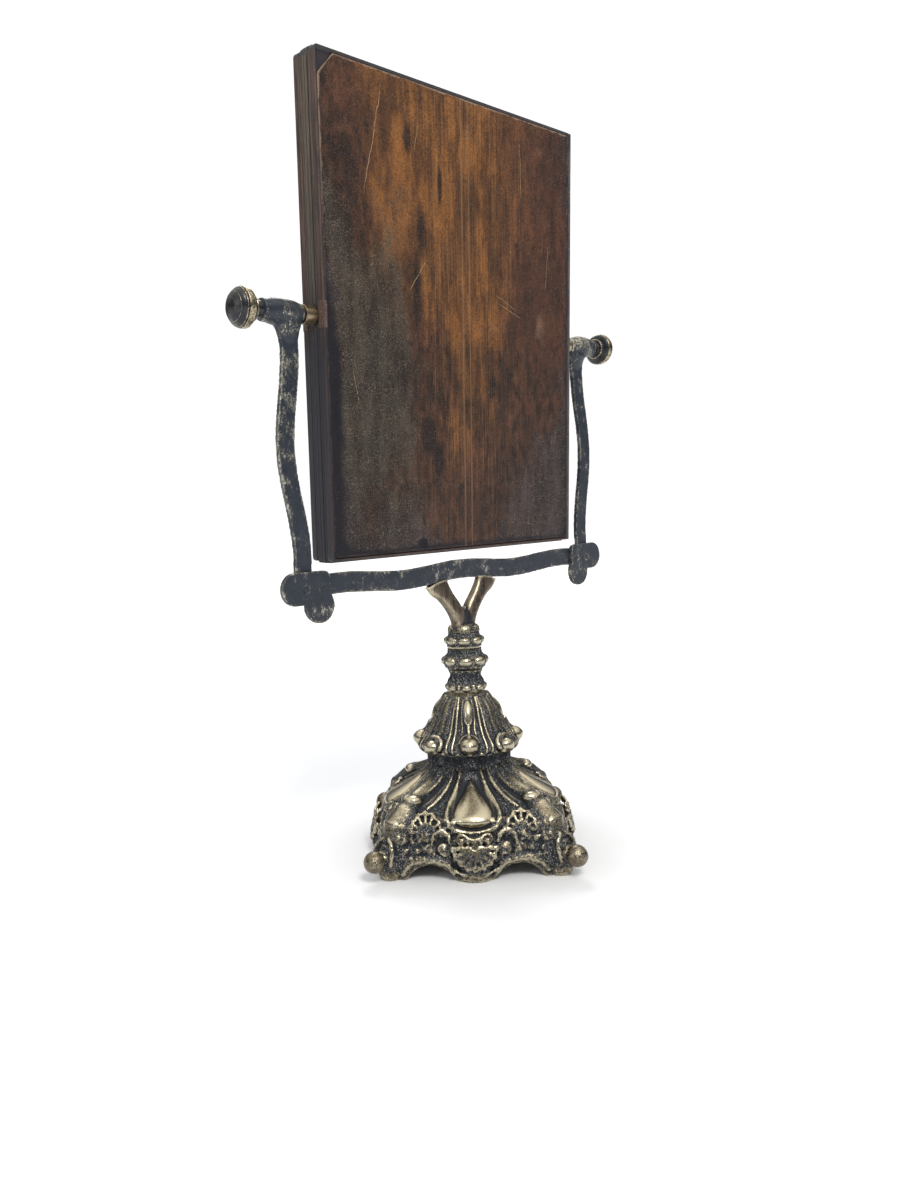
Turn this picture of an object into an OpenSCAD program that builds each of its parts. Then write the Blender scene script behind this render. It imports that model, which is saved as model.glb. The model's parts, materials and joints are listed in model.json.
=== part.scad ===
// Photo album stand: a leather album that tilts in a swinging yoke, on a turning
// fork and a square cast base. The origin is the centre of the base's underside,
// +Z is up, the yoke lies in the XZ plane and the album's front faces -Y.

/* [Album] */
// Width of the album, from fore-edge to spine
album_w = 225; // [210:1:226]
// Height of the album
album_h = 280; // [240:1:282]
// Height of the pivot axis above the surface that the stand is on
pivot_z = 346; // [344:1:360]
// Thickness of each cover board
cover_t = 4.4; // [3.5:0.1:4.6]
// Thickness of each window leaf
leaf_t = 2.3; // [1.8:0.1:2.4]
// Thickness of the centre board that the pivots hold
board_t = 5.2; // [5:0.1:5.3]
// Size of the photo card in each leaf, width
card_w = 108; // [90:1:120]
// Size of the photo card in each leaf, height
card_h = 165; // [140:1:180]

// How far the album leans forward at rest
rest_lean = 2.2; // [0:0.1:4]

/* [Yoke] */
// Distance from the centre to the middle of each arm, on average
arm_x = 134.6; // [134:0.1:136]
// How far the arms wave to each side of that line
arm_wave = 3.5; // [0:0.1:4]
// Width of the arms' flat bar
arm_w = 11.6; // [9:0.1:13]
// Thickness of the arms, the crossbar and the corner plates
bar_t = 3; // [2.5:0.1:3.4]
// Height of the middle of the crossbar
crossbar_z = 191.5; // [190:0.1:192]
// Height of the crossbar's flat face
crossbar_h = 12.6; // [10:0.1:13]
// How far the crossbar waves up and down
crossbar_wave = 1.5; // [0:0.1:2]

/* [Pivots] */
// Diameter of the pivot screws' shanks
screw_d = 4; // [3.6:0.1:4.2]
// Diameter of the knobs
knob_d = 22; // [18:0.5:24]
// Diameter of the brass ferrules
ferrule_d = 11; // [9:0.2:12]

/* [Base] */
// Distance between the outer faces of opposite middle feet
base_w = 142; // [138:1:150]
// Distance from the centre to the middle of each corner ball
ball_reach = 90; // [89:0.5:94]
// Diameter of the corner balls
ball_d = 14; // [12:0.5:15]
// Turn of the base about the vertical, against the yoke
base_turn = 45; // [0:5:90]
// Wall thickness of the hollow base castings
wall_t = 4; // [3.5:0.5:5]

/* [Hidden] */
$fn = 64;
RUN_FIT = 0.05;
CLEAR = 0.3;
SLIT = 0.15;

HALF_W = album_w / 2;
HALF_H = album_h / 2;
// Faces of the stacked album, measured from its middle towards the front
BOARD_FACE = board_t / 2;
LEAF_IN = BOARD_FACE + SLIT;
LEAF_OUT = LEAF_IN + leaf_t;
COVER_IN = LEAF_OUT + SLIT;
COVER_OUT = COVER_IN + cover_t;
// The spine's inner face, which is also the line of the hinges
SPINE_T = 2.4;
HINGE_X = HALF_W - SPINE_T - CLEAR;
LEAF_H = album_h + 2;
PANEL_RIM = 1.3;
PANEL_GAP = 0.5;
PANEL_DEPTH = 1.4;
CLIP_H = 15;
CLIP_T = 0.6;
CLIP_LAP = 2.4;
// Thickness of a photo card, its depth in the leaf, and where it sits across the leaf
CARD_T = 0.9;
CARD_DEPTH = 0.7;
CARD_X = -4;

FERRULE_L = 9.6;
BARREL_L = 26.7;
BARREL_X = HALF_W + FERRULE_L + 0.1;
BARREL_END = BARREL_X + BARREL_L;
BARREL_R1 = 5.6;
BARREL_R2 = 6.6;
BARREL_BULGE = 0.7;
KNOB_X = BARREL_END + 0.2;
KNOB_L = 21.5;
SOCKET_L = 18;
SOCKET_H = 12;
SCREW_IN = 16;
SCREW_BITE = 9;

ARM_TOP = pivot_z - 3;
ARM_LOW = crossbar_z - 6;
ARM_PERIOD = 116;
ARM_PEAK = pivot_z - 76;
PLATE_Y = -bar_t / 2;
LOBE_R = 9.6;
LOBE_X = arm_x + 5.6;
LOW_LOBE_R = 10.6;
LOW_LOBE_X = arm_x - 11.2;
INNER_X = HALF_W + 2.6;
PLATE_TOP = pivot_z - HALF_H - 4.2;
RIVET_D = 4;
RIVET_HEAD_D = 7;
BACK_Y = bar_t / 2;
BAR_END = arm_x - arm_w / 2 - 2.2;
BAR_WAVES = 105;

CAP_LOW = 139.6;
CAP_TOP = 157;
FORK_LOW = 151;
HUB_D = 10.9;
FORK_T = 7;
FORK_SPLIT = 167;
ROD_D = 6;
ROD_TOP = 161;
ROD_LOW = 44.5;
SKIRT_TOP = 63;
BELL_TOP = 110;
COLLAR_TOP = 125;
RING_TOP = 139.4;
SKIRT_IN = 36;
FLOOR_Z = 55;
FOOT_H = 12;
STUD_D = 3;
FIXED_FIT = 0.02;
PAD_R = 9;
PAD_AT = 76.5;
BALL_Z = 14;
BALL_CUT = 84.5;

OAK_LEATHER = [0.42, 0.24, 0.13];
DARK_LEATHER = [0.28, 0.17, 0.12];
CARD = [0.58, 0.54, 0.45];
BRASS = [0.62, 0.53, 0.33];
BRONZE = [0.42, 0.36, 0.24];
PAINT = [0.16, 0.18, 0.20];
STEEL = [0.55, 0.55, 0.56];
PRINT = [0.75, 0.68, 0.55];

// ---------- helpers ----------

// A box given by its lowest and highest corners
module span(low, high) {
  translate(low) cube([high[0] - low[0], high[1] - low[1], high[2] - low[2]]);
}

// A cylinder along +X from x, centred on the pivot axis
module along_x(x, length, d) {
  translate([x, 0, pivot_z]) rotate([0, 90, 0]) cylinder(d = d, h = length);
}

// A turned shape along +X from x: points are [radius, distance]
module turned_x(x, points) {
  translate([x, 0, pivot_z]) rotate([0, 90, 0]) rotate_extrude() polygon(points);
}

// A flat shape drawn in the XZ plane, from y to y + t
module plate_xz(y, t) {
  translate([0, y + t, 0]) rotate([90, 0, 0]) linear_extrude(t) children();
}

module left_side() {
  mirror([1, 0, 0]) children();
}

module rear_side() {
  mirror([0, 1, 0]) children();
}

// The album's lean at rest, about the pivot axis
module leaning() {
  translate([0, 0, pivot_z]) rotate([rest_lean, 0, 0]) translate([0, 0, -pivot_z]) children();
}

// ---------- base ----------

// Half the width of the skirt at a height: a hollow sweep out to the rim, then a steeper rim
function skirt_half(z) =
  z > SKIRT_IN
    ? 28.5 + 27.5 * pow((SKIRT_TOP - z) / (SKIRT_TOP - SKIRT_IN), 1.5)
    : 56 + 9 * sin(90 * (SKIRT_IN - z) / SKIRT_IN);

module skirt_profile(inset, low) {
  steps = 12;
  heights = [for (i = [0 : steps]) low + (SKIRT_TOP - low) * i / steps];
  right = [for (z = heights) [skirt_half(z) - inset, z]];
  left = [for (i = [steps : -1 : 0]) [inset - skirt_half(heights[i]), heights[i]]];
  polygon(concat(right, left));
}

// The skirt's sweep, the same on all four sides
module square_sweep(inset, low) {
  reach = 80;
  intersection() {
    translate([0, reach, 0]) rotate([90, 0, 0]) linear_extrude(2 * reach) skirt_profile(inset, low);
    translate([-reach, 0, 0]) rotate([90, 0, 90]) linear_extrude(2 * reach) skirt_profile(inset, low);
  }
}

// A half-round arch through both opposite sides, between a middle foot and the corners
module side_arches() {
  arch_r = 11.5;
  arch_x = 36;
  for (side = [-1, 1])
    translate([side * arch_x, 80, 0]) rotate([90, 0, 0]) cylinder(r = arch_r, h = 160);
}

module base_skirt_body() {
  difference() {
    union() {
      square_sweep(0, 0);
      // Middle feet, proud of the rim
      for (quarter = [0 : 3]) rotate(90 * quarter) {
        translate([base_w / 2 - 12, 0, 0]) cylinder(r = 12, h = 27);
        rotate(45) translate([PAD_AT, 0, 0]) cylinder(r = PAD_R, h = 24);
      }
    }
    // Hollow underside
    intersection() {
      square_sweep(wall_t, -1);
      span([-90, -90, -1], [90, 90, FLOOR_Z]);
    }
    side_arches();
    rotate(90) side_arches();
    cylinder(d = ROD_D + 2 * RUN_FIT, h = 100);
    for (quarter = [0 : 3]) rotate(45 + 90 * quarter) {
      span([BALL_CUT, -20, -1], [BALL_CUT + 20, 20, 40]);
      translate([BALL_CUT - 7, 0, BALL_Z]) rotate([0, 90, 0]) cylinder(d = STUD_D, h = 20, $fn = 32);
    }
  }
}

module base_skirt() {
  color(BRONZE) rotate(base_turn) base_skirt_body();
}

module corner_balls() {
  color(BRASS)
  for (quarter = [0 : 3]) rotate(base_turn + 45 + 90 * quarter) {
    difference() {
      translate([ball_reach, 0, BALL_Z]) sphere(d = ball_d);
      span([BALL_CUT - 20, -20, 0], [BALL_CUT, 20, 40]);
    }
    translate([BALL_CUT - 6, 0, BALL_Z]) rotate([0, 90, 0])
      cylinder(d = STUD_D - 2 * FIXED_FIT, h = 8, $fn = 32);
  }
}

module base_bell() {
  color(BRONZE) rotate(base_turn) difference() {
    union() {
      rotate_extrude() polygon([
        [0, SKIRT_TOP], [28, SKIRT_TOP], [29, 68], [32, 72], [32.5, 77], [28, 81],
        [25, 87], [22, 93.5], [19.5, 99], [17.5, 104], [15.5, BELL_TOP], [0, BELL_TOP]
      ]);
      // Eight bosses round the middle tier, the four on the axes larger
      for (eighth = [0 : 7]) rotate(45 * eighth)
        translate([31, 0, 76.5]) sphere(r = eighth % 2 == 0 ? 6.6 : 5.4);
    }
    translate([0, 0, SKIRT_TOP - 1]) cylinder(d = ROD_D + 2 * RUN_FIT, h = 60);
    translate([0, 0, SKIRT_TOP - 1]) cylinder(r1 = 24, r2 = 9, h = 38);
  }
}

// A ring of beads round the stack
module bead_ring(z, reach, bead_r, count) {
  for (i = [0 : count - 1]) rotate(360 * i / count) translate([reach, 0, z]) sphere(r = bead_r);
}

module lower_bead_collar() {
  color(BRASS) rotate(base_turn) difference() {
    union() {
      rotate_extrude() polygon([
        [0, BELL_TOP], [13, BELL_TOP], [13, 116.5], [10.2, 120], [10.2, 122.5],
        [12, COLLAR_TOP], [0, COLLAR_TOP]
      ]);
      bead_ring(113.8, 11.6, 2.8, 8);
    }
    cylinder(d = ROD_D + 2 * RUN_FIT, h = 200);
  }
}

module upper_bead_collar() {
  color(BRASS) rotate(base_turn) difference() {
    union() {
      rotate_extrude() polygon([
        [0, COLLAR_TOP], [12, COLLAR_TOP], [14, 128.5], [14, 134], [11.8, 136.5],
        [11.8, RING_TOP], [0, RING_TOP]
      ]);
      bead_ring(131.3, 12.7, 3.4, 8);
    }
    cylinder(d = ROD_D + 2 * RUN_FIT, h = 200);
  }
}

module tie_washer() {
  color(STEEL) difference() {
    translate([0, 0, FLOOR_Z - 1.6]) cylinder(d = 18, h = 1.6);
    cylinder(d = ROD_D + 2 * RUN_FIT, h = 100);
  }
}

// ---------- fork and crossbar ----------

module swivel_cap() {
  color(BRASS) difference() {
    union() {
      rotate_extrude() polygon([
        [0, CAP_LOW], [11, CAP_LOW], [12.4, 142.5], [12.4, 148], [10, 150.5], [9.4, 153.5],
        [7, 156], [4.5, CAP_TOP], [0, CAP_TOP]
      ]);
      bead_ring(145.3, 10.8, 3.1, 8);
    }
    // Socket for the fork's hub, and the rod's way through
    translate([0, 0, FORK_LOW]) cylinder(d = HUB_D + 2 * FIXED_FIT, h = 20);
    cylinder(d = ROD_D + 2 * FIXED_FIT, h = 200);
  }
}

// One prong of the fork, as bars with round joints that follow a widening curve
module prong() {
  path = [[0, 160], [7.5, 168], [14.5, 175.5], [24.5, 180.5]];
  thick = [5.5, 4.6, 4.4, 4.4];
  for (i = [0 : 2]) hull() {
    translate(path[i]) circle(r = thick[i], $fn = 32);
    translate(path[i + 1]) circle(r = thick[i + 1], $fn = 32);
  }
}

module yoke_fork() {
  color(BRASS) difference() {
    union() {
      translate([0, 0, FORK_LOW]) cylinder(d = HUB_D, h = 11);
      intersection() {
        plate_xz(-FORK_T / 2, FORK_T) union() {
          prong();
          mirror([1, 0]) prong();
        }
        span([-50, -10, CAP_TOP + 0.1], [50, 10, crossbar_z - crossbar_h / 2 - 2.2]);
      }
      // Flat feet under the crossbar
      for (side = [-1, 1]) span(
        [side * 24 - 9, -bar_t / 2 - 2.2, crossbar_z - crossbar_h / 2 - 4],
        [side * 24 + 9, FORK_T / 2, crossbar_z - crossbar_h / 2 - 1.8]
      );
      // Tabs behind the crossbar, which the screws hold
      for (side = [-1, 1]) span(
        [side * 24 - 6, BACK_Y, crossbar_z - crossbar_h / 2 - 2],
        [side * 24 + 6, FORK_T / 2, crossbar_z + 3]
      );
    }
    cylinder(d = ROD_D + 2 * FIXED_FIT, h = ROD_TOP + FIXED_FIT);
    for (side = [-1, 1])
      translate([side * 24, 30, crossbar_z - 1]) rotate([90, 0, 0]) cylinder(d = 3, h = 60, $fn = 32);
  }
}

module tie_rod() {
  color(STEEL) translate([0, 0, ROD_LOW]) cylinder(d = ROD_D, h = ROD_TOP - ROD_LOW);
}

module tie_nut() {
  color(STEEL) difference() {
    translate([0, 0, FLOOR_Z - 1.7 - 5]) cylinder(d = 11.5, h = 5, $fn = 6);
    cylinder(d = ROD_D + 2 * FIXED_FIT, h = 100);
  }
}

function bar_mid(x) = crossbar_z + crossbar_wave * cos(360 * x / BAR_WAVES);

module crossbar() {
  steps = 40;
  xs = [for (i = [0 : steps]) -BAR_END + 2 * BAR_END * i / steps];
  top = [for (x = xs) [x, bar_mid(x) + crossbar_h / 2]];
  low = [for (i = [steps : -1 : 0]) [xs[i], bar_mid(xs[i]) - crossbar_h / 2]];
  color(PAINT) difference() {
    plate_xz(-bar_t / 2, bar_t) polygon(concat(top, low));
    for (side = [-1, 1]) {
      translate([side * 24, 30, crossbar_z - 1]) rotate([90, 0, 0]) cylinder(d = 3, h = 60, $fn = 32);
      translate([side * (BAR_END - 6), 30, crossbar_z]) rotate([90, 0, 0])
        cylinder(d = RIVET_D, h = 60, $fn = 32);
    }
  }
}

module fork_screws() {
  color(STEEL) for (side = [-1, 1]) translate([side * 24, 0, crossbar_z - 1]) {
    translate([0, FORK_T / 2 + 0.02, 0]) rotate([90, 0, 0])
      cylinder(d = 2.9, h = FORK_T / 2 + bar_t / 2 - 0.5, $fn = 32);
    translate([0, FORK_T / 2 + 2, 0]) rotate([90, 0, 0]) cylinder(d = 6, h = 2, $fn = 32);
  }
}

// ---------- arms and corners ----------

function arm_mid(z) = arm_x + arm_wave * cos(360 * (z - ARM_PEAK) / ARM_PERIOD);

// The arm's own edge widens into the barrel over the last few millimetres
function arm_half(z) = arm_w / 2 + (z > pivot_z - 16 ? 0.02 * pow(z - pivot_z + 16, 2) : 0);

module right_arm_body() {
  steps = 30;
  zs = [for (i = [0 : steps]) ARM_LOW + (ARM_TOP - ARM_LOW) * i / steps];
  outer = [for (z = zs) [arm_mid(z) + arm_half(z), z]];
  inner = [for (i = [steps : -1 : 0]) [arm_mid(zs[i]) - arm_half(zs[i]), zs[i]]];
  difference() {
    union() {
      plate_xz(-bar_t / 2, bar_t) polygon(concat(outer, inner));
      turned_x(BARREL_X, [
        [0, 0], [BARREL_R1, 0], [BARREL_R1 + BARREL_BULGE * 0.7, BARREL_L * 0.25],
        [BARREL_R2 + BARREL_BULGE * 0.4, BARREL_L * 0.5], [BARREL_R2, BARREL_L * 0.8],
        [BARREL_R2 - 0.4, BARREL_L], [0, BARREL_L]
      ]);
    }
    along_x(BARREL_X - 1, BARREL_L + 2, screw_d + 2 * RUN_FIT);
    translate([arm_mid(ARM_LOW + 7), 30, ARM_LOW + 6]) rotate([90, 0, 0])
      cylinder(d = RIVET_D, h = 60, $fn = 32);
  }
}

module right_arm() {
  color(PAINT) right_arm_body();
}

module left_arm() {
  color(PAINT) left_side() right_arm_body();
}

// The lobed plate: an outer lobe, a low lobe and a rounded inner corner
module right_plate_shape() {
  lobe_z = crossbar_z + 0.6;
  low_z = crossbar_z - 10;
  union() {
    translate([LOBE_X, lobe_z]) circle(r = LOBE_R);
    translate([LOW_LOBE_X, low_z]) circle(r = LOW_LOBE_R);
    translate([INNER_X, lobe_z - LOBE_R]) square([LOBE_X - INNER_X, PLATE_TOP - lobe_z + LOBE_R - 3.5]);
    translate([INNER_X + 3.5, lobe_z]) square([LOBE_X - INNER_X - 3.5, PLATE_TOP - lobe_z - 0.3]);
    translate([INNER_X + 3.5, PLATE_TOP - 3.8]) circle(r = 3.5);
  }
}

module right_plate_body() {
  difference() {
    plate_xz(PLATE_Y - bar_t, bar_t) right_plate_shape();
    translate([BAR_END - 6, 30, crossbar_z]) rotate([90, 0, 0]) cylinder(d = RIVET_D, h = 60, $fn = 32);
    translate([arm_mid(ARM_LOW + 7), 30, ARM_LOW + 6]) rotate([90, 0, 0])
      cylinder(d = RIVET_D, h = 60, $fn = 32);
  }
}

module right_corner_plate() {
  color(PAINT) right_plate_body();
}

module left_corner_plate() {
  color(PAINT) left_side() right_plate_body();
}

// Rivets, flush at the front with a domed head at the back
module corner_rivets() {
  color(STEEL) for (side = [-1, 1])
    for (at = [[BAR_END - 6, crossbar_z], [arm_mid(ARM_LOW + 7), ARM_LOW + 6]])
      translate([side * at[0], 0, at[1]]) {
        translate([0, BACK_Y + 0.5, 0]) rotate([90, 0, 0])
          cylinder(d = RIVET_D, h = 2 * bar_t + 0.4, $fn = 32);
        translate([0, BACK_Y, 0]) intersection() {
          sphere(d = RIVET_HEAD_D, $fn = 48);
          span([-9, 0, -9], [9, 2.4, 9]);
        }
      }
}

// ---------- pivots ----------

module right_knob_body() {
  k = knob_d / 2;
  difference() {
    turned_x(KNOB_X, [
      [0, 0], [5, 0], [5, 2], [k * 0.64, 2.6], [k * 0.7, 3.6], [k * 0.62, 4.6], [k * 0.82, 5.4],
      [k * 0.9, 6.8], [k * 0.84, 7.8], [k * 0.97, 8.6], [k, 10.2], [k * 0.98, 11.8],
      [k * 0.9, 12.6], [k * 0.92, 13.6], [k * 0.84, 16], [k * 0.64, 18.6], [k * 0.36, 20.6], [0, KNOB_L]
    ]);
    along_x(KNOB_X - 1, SCREW_BITE + 1 + FIXED_FIT, screw_d + 2 * FIXED_FIT);
  }
}

module right_knob() {
  color(PAINT) right_knob_body();
}

module left_knob() {
  color(PAINT) left_side() right_knob_body();
}

module right_screw_body() {
  along_x(HALF_W - SCREW_IN, KNOB_X + SCREW_BITE - HALF_W + SCREW_IN, screw_d);
}

module right_pivot_screw() {
  color(STEEL) right_screw_body();
}

module left_pivot_screw() {
  color(STEEL) left_side() right_screw_body();
}

module right_ferrule_body() {
  r = ferrule_d / 2;
  difference() {
    turned_x(HALF_W, [
      [0, 0], [r - 0.4, 0], [r, 0.5], [r, FERRULE_L - 1.4], [r - 0.5, FERRULE_L - 0.6],
      [r - 0.5, FERRULE_L], [0, FERRULE_L]
    ]);
    along_x(HALF_W - 1, FERRULE_L + 2, screw_d + 2 * RUN_FIT);
  }
}

module right_ferrule() {
  color(BRASS) leaning() right_ferrule_body();
}

module left_ferrule() {
  color(BRASS) leaning() left_side() right_ferrule_body();
}

// ---------- album ----------

// The socket's notch starts at x, which is the board's own edge
module right_socket_body(x) {
  difference() {
    span([x - SOCKET_L, -BOARD_FACE + 0.3, pivot_z - SOCKET_H / 2],
         [x, BOARD_FACE - 0.3, pivot_z + SOCKET_H / 2]);
    along_x(x - SOCKET_L - 1, SOCKET_L + 2, screw_d + 2 * RUN_FIT);
  }
}

module right_socket() {
  color(STEEL) leaning() right_socket_body(HALF_W - SPINE_T);
}

module left_socket() {
  color(STEEL) leaning() left_side() right_socket_body(HALF_W);
}

module centre_board() {
  color(CARD) leaning() difference() {
    span([-HALF_W, -BOARD_FACE, pivot_z - LEAF_H / 2], [HALF_W - SPINE_T, BOARD_FACE, pivot_z + LEAF_H / 2]);
    span([-HALF_W - 1, -BOARD_FACE + 0.3, pivot_z - SOCKET_H / 2],
         [-HALF_W + SOCKET_L, BOARD_FACE - 0.3, pivot_z + SOCKET_H / 2]);
    span([HALF_W - SPINE_T - SOCKET_L, -BOARD_FACE + 0.3, pivot_z - SOCKET_H / 2],
         [HALF_W, BOARD_FACE - 0.3, pivot_z + SOCKET_H / 2]);
    // Ends of the screws
    along_x(HALF_W - SPINE_T - SOCKET_L - 3, 4, screw_d + 1);
    mirror([1, 0, 0]) along_x(HALF_W - SOCKET_L - 3, 4, screw_d + 1);
  }
}

module album_spine() {
  color(DARK_LEATHER) leaning() difference() {
    union() {
      span([HALF_W - SPINE_T, -COVER_OUT + 1.2, pivot_z - HALF_H], [HALF_W, COVER_OUT - 1.2, pivot_z + HALF_H]);
      for (side = [-1, 1]) translate([HALF_W - 1.2, side * (COVER_OUT - 1.2), pivot_z - HALF_H])
        cylinder(r = 1.2, h = album_h, $fn = 32);
    }
    along_x(HALF_W - SPINE_T - 1, SPINE_T + 2, screw_d + 2 * RUN_FIT);
  }
}

// Outline of a cover's leather panel, with its two fore-edge corners clipped
module panel_outline(grow) {
  left = -HALF_W + PANEL_RIM + PANEL_GAP - grow;
  right = HINGE_X - 0.2 + grow;
  low = pivot_z - HALF_H + PANEL_RIM + PANEL_GAP - grow;
  high = pivot_z + HALF_H - PANEL_RIM - PANEL_GAP + grow;
  polygon([[left, low + 3], [left + 4, low], [right, low], [right, high], [left + 9, high], [left, high - 10]]);
}

module front_board_body() {
  difference() {
    span([-HALF_W, -COVER_OUT, pivot_z - HALF_H], [HINGE_X, -COVER_IN, pivot_z + HALF_H]);
    span([-HALF_W + PANEL_RIM, -COVER_OUT - 1, pivot_z - HALF_H + PANEL_RIM],
         [HINGE_X + 1, -COVER_OUT + PANEL_DEPTH, pivot_z + HALF_H - PANEL_RIM]);
    // Seat of the edge clip
    span([-HALF_W - 1, -COVER_OUT - 1, pivot_z - CLIP_H / 2], [-HALF_W + CLIP_T, -COVER_IN + 1, pivot_z + CLIP_H / 2]);
    span([-HALF_W - 1, -COVER_OUT - 1, pivot_z - CLIP_H / 2],
         [-HALF_W + CLIP_LAP, -COVER_OUT + CLIP_T, pivot_z + CLIP_H / 2]);
  }
}

module front_panel_body() {
  difference() {
    plate_xz(-COVER_OUT, PANEL_DEPTH) panel_outline(0);
    span([-HALF_W - 1, -COVER_OUT - 1, pivot_z - CLIP_H / 2],
         [-HALF_W + CLIP_LAP + 0.1, -COVER_OUT + CLIP_T + 0.1, pivot_z + CLIP_H / 2]);
  }
}

module front_clip_body() {
  span([-HALF_W, -COVER_OUT, pivot_z - CLIP_H / 2], [-HALF_W + CLIP_T, -COVER_IN, pivot_z + CLIP_H / 2]);
  span([-HALF_W, -COVER_OUT, pivot_z - CLIP_H / 2],
       [-HALF_W + CLIP_LAP, -COVER_OUT + CLIP_T, pivot_z + CLIP_H / 2]);
}

module front_leaf_body() {
  lip = 5;
  difference() {
    span([-HALF_W + 0.3, -LEAF_OUT, pivot_z - LEAF_H / 2], [HINGE_X, -LEAF_IN, pivot_z + LEAF_H / 2]);
    // Window, and the pocket that holds the card behind it
    span([CARD_X - card_w / 2 + lip, -LEAF_OUT - 1, pivot_z - card_h / 2 + lip],
         [CARD_X + card_w / 2 - lip, -LEAF_OUT + 1, pivot_z + card_h / 2 - lip]);
    span([CARD_X - card_w / 2, -LEAF_OUT + CARD_DEPTH, pivot_z - card_h / 2],
         [CARD_X + card_w / 2, -LEAF_OUT + CARD_DEPTH + CARD_T, pivot_z + card_h / 2]);
  }
}

module front_card_body() {
  span([CARD_X - card_w / 2, -LEAF_OUT + CARD_DEPTH, pivot_z - card_h / 2],
       [CARD_X + card_w / 2, -LEAF_OUT + CARD_DEPTH + CARD_T, pivot_z + card_h / 2]);
}

module front_cover_board() {
  color(OAK_LEATHER) leaning() front_board_body();
}

module front_cover_panel() {
  color(DARK_LEATHER) leaning() front_panel_body();
}

module front_edge_clip() {
  color(STEEL) leaning() front_clip_body();
}

module front_leaf() {
  color(CARD) leaning() front_leaf_body();
}

module front_photo_card() {
  color(PRINT) leaning() front_card_body();
}

module rear_cover_board() {
  color(OAK_LEATHER) leaning() rear_side() front_board_body();
}

module rear_cover_panel() {
  color(DARK_LEATHER) leaning() rear_side() front_panel_body();
}

module rear_edge_clip() {
  color(STEEL) leaning() rear_side() front_clip_body();
}

module rear_leaf() {
  color(CARD) leaning() rear_side() front_leaf_body();
}

module rear_photo_card() {
  color(PRINT) leaning() rear_side() front_card_body();
}

base_skirt();
base_bell();
corner_balls();
lower_bead_collar();
upper_bead_collar();
tie_washer();
swivel_cap();
yoke_fork();
tie_rod();
tie_nut();
crossbar();
fork_screws();
left_corner_plate();
right_corner_plate();
corner_rivets();
left_arm();
right_arm();
left_knob();
right_knob();
left_pivot_screw();
right_pivot_screw();
centre_board();
left_socket();
right_socket();
left_ferrule();
right_ferrule();
album_spine();
front_cover_board();
front_cover_panel();
front_edge_clip();
front_leaf();
front_photo_card();
rear_cover_board();
rear_cover_panel();
rear_edge_clip();
rear_leaf();
rear_photo_card();
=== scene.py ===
"""Looks of the photo album stand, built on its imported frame.

Shapes are worked out in millimetres, in the frame's own axes, and become metres when a mesh is made.
The castings are sets of closed skins that a fine remesh melts into one surface, as the mould did.
"""

import json
import math
import random

import bpy
import numpy as np
from mathutils import Matrix, Vector, noise


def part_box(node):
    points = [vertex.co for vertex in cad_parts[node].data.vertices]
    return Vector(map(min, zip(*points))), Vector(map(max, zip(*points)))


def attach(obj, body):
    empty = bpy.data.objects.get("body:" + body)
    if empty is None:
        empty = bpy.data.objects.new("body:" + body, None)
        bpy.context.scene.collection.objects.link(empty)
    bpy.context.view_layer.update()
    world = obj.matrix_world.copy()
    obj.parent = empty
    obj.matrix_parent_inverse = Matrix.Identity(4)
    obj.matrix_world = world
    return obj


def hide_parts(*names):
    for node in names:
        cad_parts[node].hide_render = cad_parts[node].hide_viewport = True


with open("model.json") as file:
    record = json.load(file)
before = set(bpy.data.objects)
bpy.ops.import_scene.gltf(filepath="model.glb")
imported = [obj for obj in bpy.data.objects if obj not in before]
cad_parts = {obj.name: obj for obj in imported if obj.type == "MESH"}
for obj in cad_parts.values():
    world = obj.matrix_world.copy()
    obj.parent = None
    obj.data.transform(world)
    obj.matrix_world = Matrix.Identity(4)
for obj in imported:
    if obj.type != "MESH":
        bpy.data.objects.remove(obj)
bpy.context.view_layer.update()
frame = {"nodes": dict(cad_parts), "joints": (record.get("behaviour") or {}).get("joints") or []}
MM = 0.001
MOST_FACES = 190000  # triangles in one casting


# ---------- sizes, from the frame ----------

def low(node):
    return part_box(node)[0] / MM


def high(node):
    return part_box(node)[1] / MM


def joint(name):
    return next(j for j in frame["joints"] if j["name"] == name)


PIVOT_Z = (low("right_knob").z + high("right_knob").z) / 2
HINGE_AXIS = Vector(joint("front_cover_open")["axis"])
LEAN = math.atan2(abs(HINGE_AXIS.y), abs(HINGE_AXIS.z))
LEANING = (
    Matrix.Translation((0, 0, PIVOT_Z))
    @ Matrix.Rotation(LEAN, 4, "X")
    @ Matrix.Translation((0, 0, -PIVOT_Z))
)


def album_box(node):
    """Lowest and highest corner of an album node in millimetres, with the album stood upright."""
    upright = LEANING.inverted()
    points = [upright @ (v.co / MM) for v in frame["nodes"][node].data.vertices]
    corners = np.array(points)
    return Vector(corners.min(0)), Vector(corners.max(0))


BASE_TURN = 45
SKIRT_TOP = high("base_skirt").z
BELL_TOP = high("base_bell").z
COLLAR_TOP = high("lower_bead_collar").z
RING_TOP = high("upper_bead_collar").z
CAP_LOW = low("swivel_cap").z
CAP_TOP = high("swivel_cap").z
FLOOR_Z = high("tie_washer").z
BALL_R = (high("corner_balls").z - low("corner_balls").z) / 2
BALL_Z = low("corner_balls").z + BALL_R
BALL_REACH = high("corner_balls").x - BALL_R
ALBUM_LOW, ALBUM_HIGH = album_box("front_cover_board")
ALBUM_H = ALBUM_HIGH.z - ALBUM_LOW.z


# ---------- small maths ----------

def smooth(edge0, edge1, x):
    t = np.clip((x - edge0) / (edge1 - edge0), 0, 1)
    return t * t * (3 - 2 * t)


def bump_at(x, middle, width):
    return np.exp(-(((x - middle) / width) ** 2))


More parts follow.
